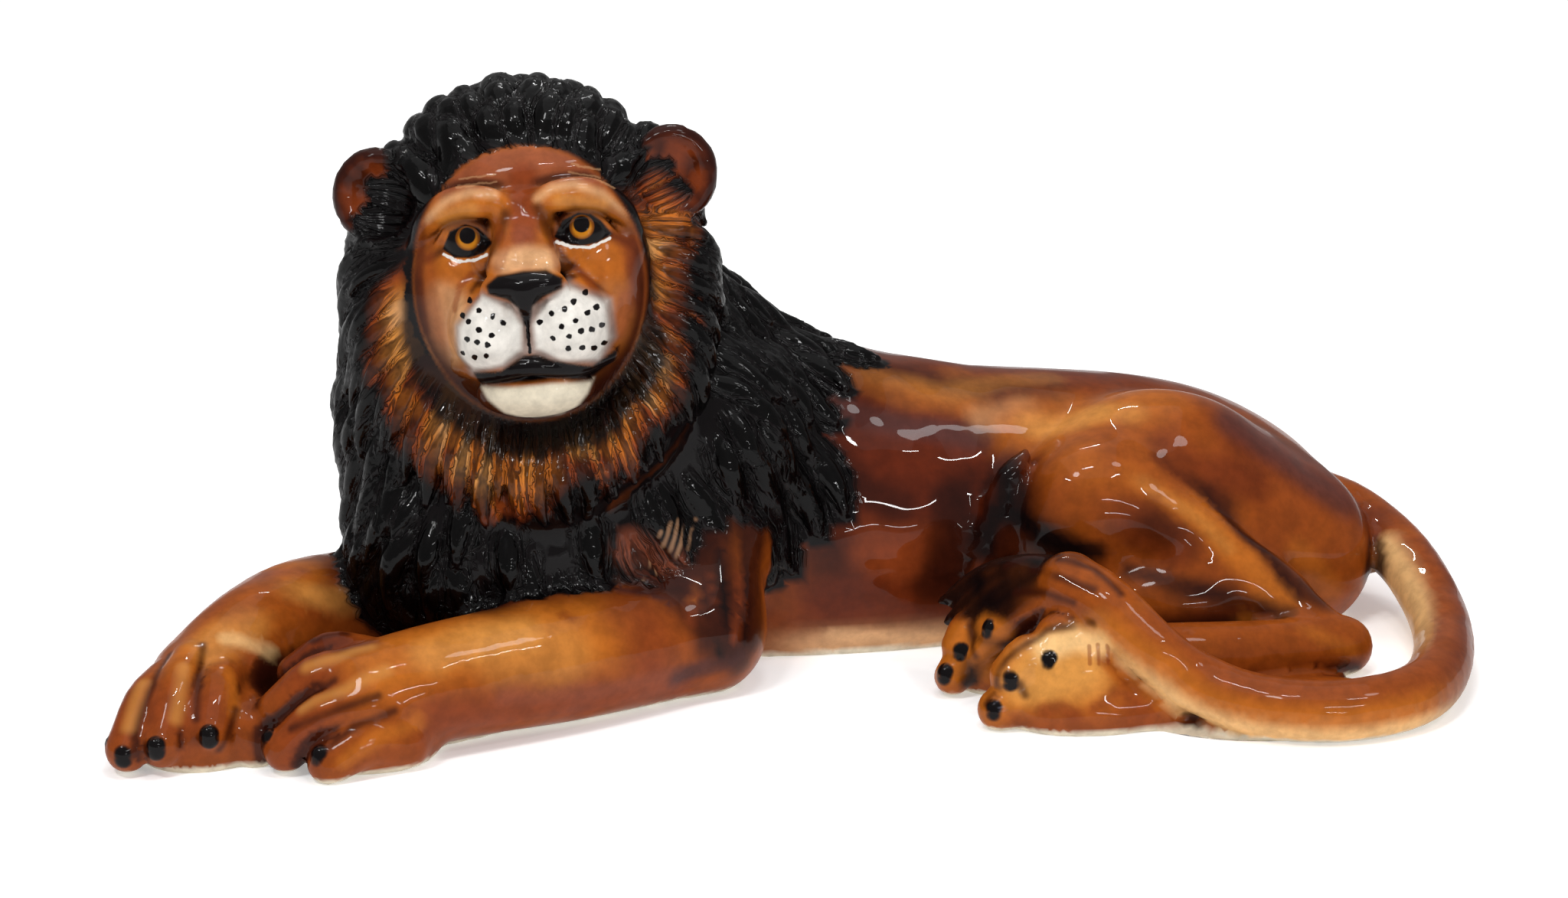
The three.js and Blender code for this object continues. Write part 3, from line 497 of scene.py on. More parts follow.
def add_ear(clay):
    clay.rope([[60, 16, -58, 16], [72, 20, -54, 19]], 8)
    clay.egg([EAR_RIGHT, EAR_UP + 0.5, -46], [25.5, 27, 12], 5, [1, 10])
    clay.hollow([EAR_RIGHT, EAR_UP, -34], [*EAR_BOWL, 14], 3, [1, 10])


# Which way hair grows at points of the head's frame: out from the face, then down and back
def hair_flow(q):
    x, y, z = q.T
    dy = y - FACE_MIDDLE
    r = np.hypot(x, dy) + 1e-6
    side = 1 - smooth(dy / r, 0.2, 0.8)
    hang = side * (0.5 + 0.7 * smooth(r, 60, 125)) + 2.2 * smooth(-z, 70, 130)
    return unit(np.stack([x / r, dy / r - hang, -0.35 - 0.4 * smooth(-z, 0, 60)], 1))


# Locks of hair: each leaves the surface a little buried, swells, and ends in a point
def add_locks(clay, ground, roots, lengths, wides, bends, rise, shape=(0.75, 1, 1, 0.75, 0.3)):
    steps = 4
    points = []
    p = roots
    for i in range(steps + 1):
        t = i / steps
        n = unit(ground.feel(p)[1])
        fat = wides * shape[i]
        lift = rise * (-0.7, -0.1, 0.35, 0.55, 0.5)[i] - fat * 0.45
        points.append(np.column_stack([p + n * lift[:, None], fat]))
        way = hair_flow(to_head(p)) @ HEAD_AXES.T
        way = unit(way - n * (way * n).sum(1)[:, None])
        turn = (bends * math.sin(t * 5.5))[:, None]
        way = way * np.cos(turn) + np.cross(n, way) * np.sin(turn)
        p = ground.settle(p + way * (lengths / steps)[:, None], 2)
    for rows in np.stack(points, 1):
        clay.rope(rows, 2, 2)


# Points on the hairline: turn clockwise from the top of the face, reach 1 on the hairline
def on_face(ground, turn, reach, out):
    a = np.radians(turn)
    x = FACE_WIDE * reach * np.sin(a)
    y = FACE_MIDDLE + FACE_TALL * reach * np.cos(a)
    return ground.settle(from_head(np.column_stack([x, y, np.full(len(a), float(out))])), 8)


def add_mane(clay, ground, mane_mass):
    # rings of locks around the face, the outer ring first
    i = np.arange(RUFF_LOCKS)
    for ring in range(RUFF_RINGS - 1, -1, -1):
        turn = 36 + 288 * (i + 0.5 + 0.5 * ring) / RUFF_LOCKS
        size = 0.84 + 0.32 * scatter(i + 70 * ring)
        low = smooth(-np.cos(np.radians(turn)), 0.2, 1)
        roots = on_face(ground, turn, 1 + 0.27 * ring, -34 - 10 * ring)
        add_locks(clay, ground, roots, (RUFF_LENGTH + 8 * low) * size, (RUFF_WIDE + 1.4 * ring) * size,
                  0.4 * (scatter(i + 50 + 90 * ring) - 0.5), 7)
    # crest of thick curls over the forehead, in rows from the hairline back
    for row in range(CREST_ROWS):
        many = CREST_LOCKS + row
        i = np.arange(many)
        turn = CREST_SPAN * (2 * (i + 0.5) / many - 1) + 5 * (scatter(31 * row + i) - 0.5)
        size = 0.9 + 0.3 * scatter(17 * row + i + 400)
        roots = on_face(ground, turn, 0.97 + 0.19 * row, -14 - 14 * row)
        bends = 0.9 * (scatter(i + 9 * row + 80) - 0.5)
        add_locks(clay, ground, roots, CURL_LENGTH * size, CURL_WIDE * size, bends, 11, CURL_SHAPE)
    # locks over the rest of the mane
    tall = LOCK_SPACING * 0.82
    z, y, x = np.meshgrid(50 + tall * np.arange(21), np.arange(-110, 190, LOCK_SPACING),
                          np.arange(-290, 70, LOCK_SPACING), indexing="ij")
    n = np.arange(1, x.size + 1)
    odd = np.floor(z.ravel() / tall + 0.5) % 2
    p = np.column_stack([
        x.ravel() + LOCK_SPACING * (0.5 * odd + 0.5 * (scatter(n) - 0.5)),
        y.ravel() + LOCK_SPACING * (0.5 * odd + 0.5 * (scatter(n + 7000) - 0.5)),
        z.ravel() + LOCK_SPACING * 0.4 * (scatter(n + 9000) - 0.5),
    ])
    near = np.abs(ground.at(p)) <= LOCK_SPACING * 0.42
    roots, n = ground.settle(p[near], 3), n[near]
    q = to_head(roots)
    r = face_reach(q)
    crest = q[:, 1] > 10
    bare = (q[:, 2] > -95) & (r < np.where(crest, 1.5, 1.58))
    ear = np.sqrt((np.abs(q[:, 0]) - 80) ** 2 + (q[:, 1] - 24) ** 2 + (q[:, 2] + 46) ** 2) < 30
    off = mane_mass.at(roots) > np.where(crest, 60, 4)
    keep = ~(bare | ear | off)
    roots, n, crest = roots[keep], n[keep], crest[keep]
    size = 0.82 + 0.36 * scatter(n + 300)
    bends = 0.7 * (scatter(n + 600) - 0.5)
    rises = np.where(crest, 9, 7)
    lengths = LOCK_LENGTH * size * np.where(crest, 0.75, 1)
    add_locks(clay, ground, roots, lengths, LOCK_WIDE * size, bends, rises)


# Claws show at the tips of the toes as small ovals
def add_claws(clay):
    for at in CLAWS:
        clay.egg(at, CLAW_SIZE, 1.5)


def in_head(clay):
    clay.axes = HEAD_AXES
    clay.origin = np.array(HEAD_AT, float)


def model():
    mane_mass = Clay()
    add_mane_mass(mane_mass)
    ground = Clay()  # everything that hair grows on
    add_trunk(ground)
    ground.forms += mane_mass.forms
    in_head(ground)
    add_skull(ground)
    clay = Clay(ground.forms)
    first_lock = len(clay.forms)
    add_mane(clay, ground, mane_mass)
    last_lock = len(clay.forms)
    in_head(clay)
    add_face(clay)
    clay.side = 1
    clay.axes = np.eye(3)
    clay.origin = np.zeros(3)
    add_haunch(clay)
    add_hind_feet(clay)
    add_tail(clay)
    add_forelegs(clay)
    add_claws(clay)
    return clay, ground, mane_mass, clay.forms[first_lock:last_lock]


# Whether the surface crosses a grid cell as one plain patch, for each pattern of its eight corners
def plain_patterns():
    def joined(corners):
        seen = list(corners[:1])
        for c in seen:
            seen += [c ^ bit for bit in (1, 2, 4) if c ^ bit in corners and c ^ bit not in seen]
        return len(seen) == len(corners)

    plain = []
    for mask in range(256):
        inside = [c for c in range(8) if mask >> c & 1]
        outside = [c for c in range(8) if not mask >> c & 1]
        good = joined(inside) and joined(outside)
        for u, v, w in ((1, 2, 4), (2, 4, 1), (4, 1, 2)):
            for base in (0, w):
                a, b, c, d = [mask >> k & 1 for k in (base, base + u, base + v, base + u + v)]
                good = good and not (a == d and b == c and a != b)
        plain.append(good)
    return np.array(plain)


def corners_of(grid):
    n = np.array(grid.shape)
    return np.stack([grid[(c >> 2):n[0] - 1 + (c >> 2), (c >> 1 & 1):n[1] - 1 + (c >> 1 & 1),
                          (c & 1):n[2] - 1 + (c & 1)] for c in range(8)], -1)


# Fills crevices too fine for the grid, so that the net is a clean single skin
def close_crevices(value, cell):
    plain = plain_patterns()
    shape = value.shape
    corner = np.array([(c & 1) + shape[2] * (c >> 1 & 1) + shape[2] * shape[1] * (c >> 2) for c in range(8)])
    index = np.arange(value.size).reshape(shape)[:-1, :-1, :-1]
    flat = value.reshape(-1)
    while True:
        inside = corners_of(value) < 0
        mask = (inside * (1 << np.arange(8))).sum(-1)
        here = index[~plain[mask]]
        if not len(here):
            return
        around = here[:, None] + corner
        v = np.where(flat[around] < 0, 1e9, flat[around])
        flat[around[np.arange(len(here)), v.argmin(1)]] = -0.1 * cell


# Nets the surface of the clay: one point in each grid cell that the surface crosses
def net(clay, cell):
    low = np.min([f.low for f in clay.forms], 0)
    high = np.max([f.high for f in clay.forms], 0)
    low[2] = -KEPT_BELOW - 1.5 * cell
    n = np.ceil((high - low) / cell).astype(int) + 1
    value = np.full(n[::-1], FAR, np.float32)
    lines = [low[k] + cell * np.arange(n[k]) for k in range(3)]
    for form in clay.forms:
        cut = [slice(*np.searchsorted(lines[k], (form.low[k], form.high[k]))) for k in range(3)]
        z, y, x = np.meshgrid(lines[2][cut[2]], lines[1][cut[1]], lines[0][cut[0]], indexing="ij")
        if x.size:
            part = value[cut[2], cut[1], cut[0]]
            value[cut[2], cut[1], cut[0]] = clay.join(form, part, np.stack([x, y, z], -1))
    value = np.maximum(value, -(lines[2] + KEPT_BELOW)[:, None, None]).astype(np.float32)
    close_crevices(value, cell)
    v = corners_of(value)
    inside = v < 0
    count = inside.sum(-1)
    crossed = (count > 0) & (count < 8)
    v, inside = v[crossed], inside[crossed]
    total = np.zeros((len(v), 3))
    many = np.zeros(len(v))
    for c in range(8):
        for axis in range(3):
            d = c | 1 << axis
            if d == c:
                continue
            cuts = inside[:, c] != inside[:, d]
            t = np.where(cuts, v[:, c] / np.where(cuts, v[:, c] - v[:, d], 1), 0)
            for m in range(3):
                total[:, m] += cuts * ((c >> m & 1) + (t if m == axis else 0))
            many += cuts
    k, j, i = np.nonzero(crossed)
    points = low + cell * (np.stack([i, j, k], 1) + total / many[:, None])
    ids = np.full(value.shape, -1)
    ids[k, j, i] = np.arange(len(points))
    flat_ids = ids.reshape(-1)
    solid = (value < 0).reshape(-1)
    step = [1, n[0], n[0] * n[1]]
    index = np.arange(value.size).reshape(value.shape)[1:-1, 1:-1, 1:-1].reshape(-1)
    quads = []
    for axis in range(3):
        first = solid[index]
        here = index[first != solid[index + step[axis]]]
        u, w = step[(axis + 1) % 3], step[(axis + 2) % 3]
        quad = np.stack([flat_ids[here], flat_ids[here - u], flat_ids[here - u - w], flat_ids[here - w]], 1)
        turned = ~solid[here]
        quad[turned] = quad[turned][:, ::-1]
        quads.append(quad)
    quads = np.vstack(quads)
    faces = np.vstack([quads[:, [0, 1, 2]], quads[:, [0, 2, 3]]])
    return outer_skin(points, faces)


# Keeps the outer skin, the net's largest piece, and drops any pocket left inside the clay
def outer_skin(points, faces):
    label = np.arange(len(points))
    while True:
        low = np.repeat(label[faces].min(1), 3)
        new = label.copy()
        np.minimum.at(new, faces.reshape(-1), low)
        new = new[new]
        if (new == label).all():
            break
        label = new
    main = np.bincount(label[faces[:, 0]]).argmax()
    faces = faces[label[faces[:, 0]] == main]
    used, faces = np.unique(faces, return_inverse=True)
    return points[used], faces.reshape(-1, 3)


# Where each point lies on the lock of hair nearest to it
def comb(locks, points, normals):
    n = len(points)
    best = np.full(n, 6.0)
    owner = np.full(n, -1)
    along = np.zeros(n)
    across = np.zeros(n)
    way = np.zeros((n, 3))
    wide = np.ones(n)
    inset = MELT_REACH - 3
    for k, lock in enumerate(locks):
        near = np.flatnonzero(((points > lock.low + inset) & (points < lock.high - inset)).all(1))
        if not len(near):
            continue
        p = points[near]
        last = len(lock.radii) - 1
        for i in range(last):
            a = lock.path[i]
            ab = lock.path[i + 1] - a
            long = np.linalg.norm(ab)
            t = np.clip((p - a) @ ab / long ** 2, 0, 1)
            off = p - a - t[:, None] * ab
            r = lock.radii[i] + (lock.radii[i + 1] - lock.radii[i]) * t
            d = np.linalg.norm(off, axis=1) - r
            closer = d < best[near]
            ids = near[closer]
            best[ids] = d[closer]
            owner[ids] = k
            along[ids] = (i + t[closer]) / last
            side = unit(np.cross(normals[ids], ab / long))
            across[ids] = (off[closer] * side).sum(1)
            way[ids] = ab / long
            wide[ids] = r[closer]
    return owner, along, across, way, wide


# Unique edges, and which three edges each face has
def edges_of(faces):
    pairs = np.sort(faces[:, [0, 1, 1, 2, 2, 0]].reshape(-1, 2), 1)
    key, of_face = np.unique(pairs[:, 0] * (faces.max() + 1) + pairs[:, 1], return_inverse=True)
    edges = np.stack(np.divmod(key, faces.max() + 1), 1)
    return edges, of_face.reshape(-1, 3)


def normals_of(points, faces):
    corner = points[faces]
    face_normal = np.cross(corner[:, 1] - corner[:, 0], corner[:, 2] - corner[:, 0])
    out = np.zeros_like(points)
    for k in range(3):
        for axis in range(3):
            out[:, axis] += np.bincount(faces[:, k], face_normal[:, axis], len(points))
    return unit(out)


# Presses points onto the clay along their normals
def press(clay, points, normals, steps):
    for _ in range(steps):
        points = points - normals * np.clip(clay.at(points), -2, 2)[:, None] * 0.95
    return points


# Splits the longest edges where they are longer than the surface wants; strands get long thin faces
def refine(clay, points, faces, wanted, rounds):
    normals = normals_of(points, faces)
    fine, coarse, way = wanted(points, normals)
    for _ in range(rounds):
        edges, of_face = edges_of(faces)
        a, b = edges.T
        run = points[b] - points[a]
        grain = way[a] + way[b] * np.sign((way[a] * way[b]).sum(1) + 1e-9)[:, None]
        along = np.abs((run * unit(grain)).sum(1))
        across = np.sqrt(np.maximum((run * run).sum(1) - along ** 2, 0))
        long = np.hypot(across / ((fine[a] + fine[b]) / 2), along / ((coarse[a] + coarse[b]) / 2))
        longest = np.zeros(len(edges), bool)
        longest[of_face[np.arange(len(faces)), long[of_face].argmax(1)]] = True
        split = longest & (long > 1)
        middle = np.full(len(edges), -1)
        middle[split] = len(points) + np.arange(split.sum())
        a, b = a[split], b[split]
        n = unit(normals[a] + normals[b])
        new = press(clay, (points[a] + points[b]) / 2, n, 2)
        points = np.vstack([points, new])
        faces = split_faces(points, faces, middle[of_face])
        normals = normals_of(points, faces)
        sizes = wanted(new, normals[-len(new):])
        fine, coarse, way = [np.concatenate(pair) for pair in zip((fine, coarse, way), sizes)]
    return points, faces


def split_faces(points, faces, middle):
    cut = middle >= 0
    count = cut.sum(1)
    out = [faces[count == 0]]
    # turned so that the first edge is the one that is cut, or the last the one that isn't
    first = np.where(count == 1, cut.argmax(1), np.where(count == 2, ((~cut).argmax(1) + 1) % 3, 0))
    turn = (first[:, None] + np.arange(3)) % 3
    v = np.take_along_axis(faces, turn, 1)
    m = np.take_along_axis(middle, turn, 1)
    a, b, c, ab = *v[count == 1].T, m[count == 1][:, 0]
    out += [np.stack(t, 1) for t in ((a, ab, c), (ab, b, c))]
    two = count == 2
    a, b, c = v[two].T
    ab, bc, _ = m[two].T
    out.append(np.stack([ab, b, bc], 1))
    one_way = np.linalg.norm(points[a] - points[bc], axis=1)
    other_way = np.linalg.norm(points[ab] - points[c], axis=1)
    short = (one_way < other_way)[:, None]
    out.append(np.where(short, np.stack([a, ab, bc], 1), np.stack([a, ab, c], 1)))
    out.append(np.where(short, np.stack([a, bc, c], 1), np.stack([ab, bc, c], 1)))
    a, b, c = v[count == 3].T
    ab, bc, ca = m[count == 3].T
    out += [np.stack(t, 1) for t in ((a, ab, ca), (ab, b, bc), (ca, bc, c), (ab, bc, ca))]
    return np.vstack(out)


# Slides points towards the middle of their neighbours, to even out the faces
def relax(points, faces, weight):
    edges, _ = edges_of(faces)
    a, b = edges.T
    total = np.zeros_like(points)
    for axis in range(3):
        total[:, axis] = np.bincount(a, points[b, axis], len(points))
        total[:, axis] += np.bincount(b, points[a, axis], len(points))
    many = np.bincount(a, minlength=len(points)) + np.bincount(b, minlength=len(points))
    n = normals_of(points, faces)
    step = total / many[:, None] - points
    step -= n * (step * n).sum(1)[:, None]
    return points + step * weight


# How fine the faces are: the eyes most, then the face, the combed hair across its strands, and the paws
def wanted_sizes(locks):
    def wanted(p, n):
        owner, _, _, way, _ = comb(locks, p, n)
        q = to_head(p)
        hair = owner >= 0
        face = (np.hypot(q[:, 0] / 66, (q[:, 1] + 26) / 80) < 1.05) & (q[:, 2] > FACE_BACK)
        ruff = hair & (np.hypot(q[:, 0] / 130, (q[:, 1] + 40) / 140) < 1) & (q[:, 2] > -90)
        muzzle = (np.hypot(q[:, 0] / 46, (q[:, 1] + 58) / 42) < 1) & (q[:, 2] > -10)
        eye = (np.hypot(np.abs(q[:, 0]) - 31, 1.25 * (q[:, 1] + 1)) < 18) & (q[:, 2] > -22)
        paw = (p[:, 1] < -35) & ((p[:, 0] < -250) & (p[:, 1] < -55) | (p[:, 0] > 60) & (p[:, 0] < 150))
        foot = p[:, 2] < -1
        fine = np.where(hair, EDGES["hair"], EDGES["body"])
        coarse = np.full(len(p), EDGES["body"])
        fine[ruff] = EDGES["ruff"]
        wanted_there = {"paw": paw & ~hair, "face": face, "muzzle": muzzle, "eye": eye, "foot": foot}
        for name, where in wanted_there.items():
            fine[where] = EDGES[name]
            coarse[where] = EDGES[name]
        return fine, coarse, way
    return wanted


# Presses strands into the locks: grooves that follow each lock and fade at its ends
def groove_strands(points, faces, locks):
    normals = normals_of(points, faces)
    owner, along, across, way, wide = comb(locks, points, normals)
    phase = across / (wide + 1.2) * STRANDS / 2 + scatter(owner)
    wave = (0.5 + 0.5 * np.cos(2 * np.pi * phase)) ** 1.5
    fade = smooth(along, 0.02, 0.2) * (1 - smooth(along, 0.9, 1.0)) * (owner >= 0)
    combed = np.column_stack([phase - scatter(owner), along * LOCK_LENGTH, fade])
    return points - normals * (STRAND_DEPTH * (wave * fade))[:, None], owner, combed


# The foot is ground flat: everything under the table plane is cut off and the hole closed
def flat_foot(mesh):
    bm = bmesh.new()
    bm.from_mesh(mesh)
    bmesh.ops.bisect_plane(bm, geom=bm.verts[:] + bm.edges[:] + bm.faces[:], dist=1e-6,
                           plane_co=(0, 0, 0), plane_no=(0, 0, 1), clear_inner=True)
    rim = [e for e in bm.edges if e.is_boundary]
    bmesh.ops.triangle_fill(bm, edges=rim, use_beauty=True, normal=(0, 0, -1))
    bmesh.ops.recalc_face_normals(bm, faces=bm.faces[:])
    bm.to_mesh(mesh)
    bm.free()


def to_row(p):
    return (np.asarray(p, float) - (*MIDDLE, 0)) / 1000


# The clay as points and faces, with what the painter needs to know of each point
def shape_lion():
    clay, ground, mane_mass, locks = model()
    points, faces = net(clay, NET)
    points = clay.settle(points, 1, 3)
    points = press(clay, points, normals_of(points, faces), 2)
    points[:, 2] = np.maximum(points[:, 2], -KEPT_BELOW)
    points, faces = refine(clay, points, faces, wanted_sizes(locks), SPLIT_ROUNDS)
    points = relax(points, faces, EVENING)
    points = press(clay, points, normals_of(points, faces), 2)
    points[:, 2] = np.maximum(points[:, 2], -KEPT_BELOW)
    normals = normals_of(points, faces)
    crease = 1 - np.clip(clay.at(points + CREASE_REACH * normals) / CREASE_REACH, 0, 1)
    mane = mane_mass.at(points)
    points, owner, combed = groove_strands(points, faces, locks)
    return points, faces, crease, mane, owner, combed


def make_lion():
    points, faces, crease, mane, owner, combed = shape_lion()
    mesh = bpy.data.meshes.new("glazed_lion")
    # The glazed skin is held inside the solid's own box
    mesh.from_pydata(np.clip(to_row(points), *np.array(cad_box)).tolist(), [], faces.tolist())
    paint = mesh.attributes.new("stain_and_painted_light", "FLOAT_COLOR", "POINT")
    colours = stains_and_painted_light(points, normals_of(points, faces), crease, mane, owner)
    colours = np.column_stack([colours, np.ones(len(points))])
    paint.data.foreach_set("color", colours.astype(np.float32).reshape(-1))
    comb_marks = mesh.attributes.new("comb", "FLOAT_VECTOR", "POINT")
    comb_marks.data.foreach_set("vector", combed.astype(np.float32).reshape(-1))
    flat_foot(mesh)
    mesh.shade_smooth()
    piece = bpy.data.objects.new("glazed_lion", mesh)
    bpy.context.scene.collection.objects.link(piece)
    return piece


# sRGB hex to linear
def linear(hex_colour):
    rgb = np.array([int(hex_colour[i:i + 2], 16) for i in (0, 2, 4)]) / 255
    return np.where(rgb <= 0.04045, rgb / 12.92, ((rgb + 0.055) / 1.055) ** 2.4)


GOLD = linear("C98A42")
HONEY = linear("E2B77C")
AMBER = linear("AE601C")
ORANGE_BROWN = linear("8A4210")
RUST = linear("7A3414")
RED_BROWN = linear("571E0A")
PINK_BROWN = linear("86452E")
PLUM = linear("482A28")
DARK_BROWN = linear("2C0E07")
BLACK = linear("0A0607")
BEIGE = linear("D2A274")
SAND = linear("A67C5C")
CREAM = linear("D3C8B2")
WHITE = linear("DAD5CD")
GREY = linear("8E8580")
IRIS_RIM = linear("6E3A08")
IRIS_AMBER = linear("B87414")

# Airbrush strokes on the body, some of them painted highlights and shade: stain, strength, radius in mm,
# points that the stroke passes
BODY_STROKES = [
    # back and flank
    (DARK_BROWN, 0.8, 34, [(-10, 40, 150), (12, 30, 112), (24, 10, 74)]),
    (RED_BROWN, 0.95, 40, [(30, 20, 122), (70, 18, 108), (100, 20, 96)]),
    (RUST, 0.7, 18, [(44, 6, 66), (84, 6, 62)]),
    (RED_BROWN, 0.6, 13, [(10, 6, 40), (60, 6, 38), (96, 6, 36)]),
    (AMBER, 0.55, 12, [(30, 58, 156), (72, 52, 148), (108, 50, 138), (104, 78, 148)]),
    (DARK_BROWN, 0.6, 14, [(76, 72, 152), (124, 68, 141), (160, 66, 135)]),
    (RED_BROWN, 0.6, 30, [(60, 120, 140), (130, 110, 134), (200, 100, 134)]),
    (BEIGE, 0.35, 12, [(112, 44, 131), (138, 50, 131)]),
    # haunch
    (AMBER, 0.7, 24, [(140, 40, 120), (175, 38, 130), (205, 40, 128)]),
    (AMBER, 0.4, 22, [(160, -6, 108), (196, -6, 104)]),
    (GOLD, 0.45, 11, [(146, 36, 124), (176, 34, 130)]),
    (RED_BROWN, 0.7, 12, [(206, 6, 116), (232, -6, 104), (262, -2, 96)]),
    (DARK_BROWN, 0.7, 16, [(188, -32, 84), (202, -36, 74)]),
    (RED_BROWN, 0.85, 26, [(262, 24, 118), (300, 36, 98), (332, 40, 66)]),
    (DARK_BROWN, 0.35, 16, [(280, 60, 112), (320, 62, 84)]),
    # Painted highlight along the ridge of the calf, and painted shade in the crease between calf and thigh
    (AMBER, 0.7, 10, [(210, -18, 92), (238, -34, 70), (262, -52, 44)]),
    (DARK_BROWN, 0.85, 9, [(232, -10, 92), (252, -24, 72), (272, -44, 52), (286, -52, 36)]),
    (BLACK, 0.95, 13, [(120, 12, 108), (124, 0, 88), (132, -14, 76), (150, -28, 66)]),
    (DARK_BROWN, 0.8, 18, [(96, 12, 96), (108, 4, 72), (118, -4, 56)]),
    # shank, feet and tail
    # Painted shadow in the gap under the haunch, above the shank
    (DARK_BROWN, 0.9, 11, [(150, -60, 62), (190, -52, 58), (232, -56, 48)]),
    (AMBER, 0.9, 30, [(96, -124, 22), (130, -126, 30)]),
    (GOLD, 0.9, 20, [(104, -128, 34), (130, -130, 44)]),
    (RUST, 0.7, 11, [(96, -132, 4), (130, -134, 6), (156, -134, 12), (158, -126, 30)]),
    (AMBER, 0.8, 18, [(70, -62, 20), (88, -66, 30)]),
    (BLACK, 0.9, 9, [(136, -90, 78), (112, -74, 68), (92, -62, 48)]),
    # Painted shade in the crevice between the hind feet
    (DARK_BROWN, 0.9, 10, [(100, -96, 30), (86, -92, 18), (104, -98, 42)]),
    # forelegs
    # Painted highlight: amber and gold along the top of the near foreleg
    (AMBER, 0.9, 22, [(-250, -110, 56), (-205, -98, 64), (-165, -86, 64), (-128, -76, 58)]),
    (GOLD, 0.55, 11, [(-222, -106, 58), (-196, -98, 63), (-172, -90, 61)]),
    (RUST, 0.8, 12, [(-226, -122, 26), (-176, -106, 24), (-130, -88, 18), (-80, -60, 14)]),
    (RUST, 0.8, 24, [(-300, -80, 46), (-280, -100, 40), (-290, -116, 16)]),
    (RED_BROWN, 0.75, 12, [(-300, -70, 54), (-280, -74, 62), (-262, -92, 62)]),
    (DARK_BROWN, 0.9, 13, [(-84, -34, 98), (-74, -48, 66), (-64, -54, 42)]),
    (DARK_BROWN, 0.75, 10, [(-52, -50, 84), (-46, -50, 46), (-46, -48, 20)]),
    (RUST, 0.6, 16, [(-110, -70, 66), (-100, -72, 40)]),
    (AMBER, 0.8, 22, [(-290, 10, 74), (-320, -24, 68), (-350, -60, 48)]),
    (RUST, 0.6, 14, [(-310, 0, 74), (-336, -20, 68), (-356, -50, 50), (-374, -68, 34)]),
    (RUST, 0.5, 14, [(-262, -4, 62), (-290, -24, 50)]),
    (GOLD, 0.45, 12, [(-318, -46, 66), (-336, -66, 54)]),
    (RUST, 0.7, 20, [(-380, -90, 24), (-350, -100, 28)]),
    (BLACK, 0.9, 22, [(-200, 20, 84), (-222, -30, 84), (-190, -60, 78)]),
]
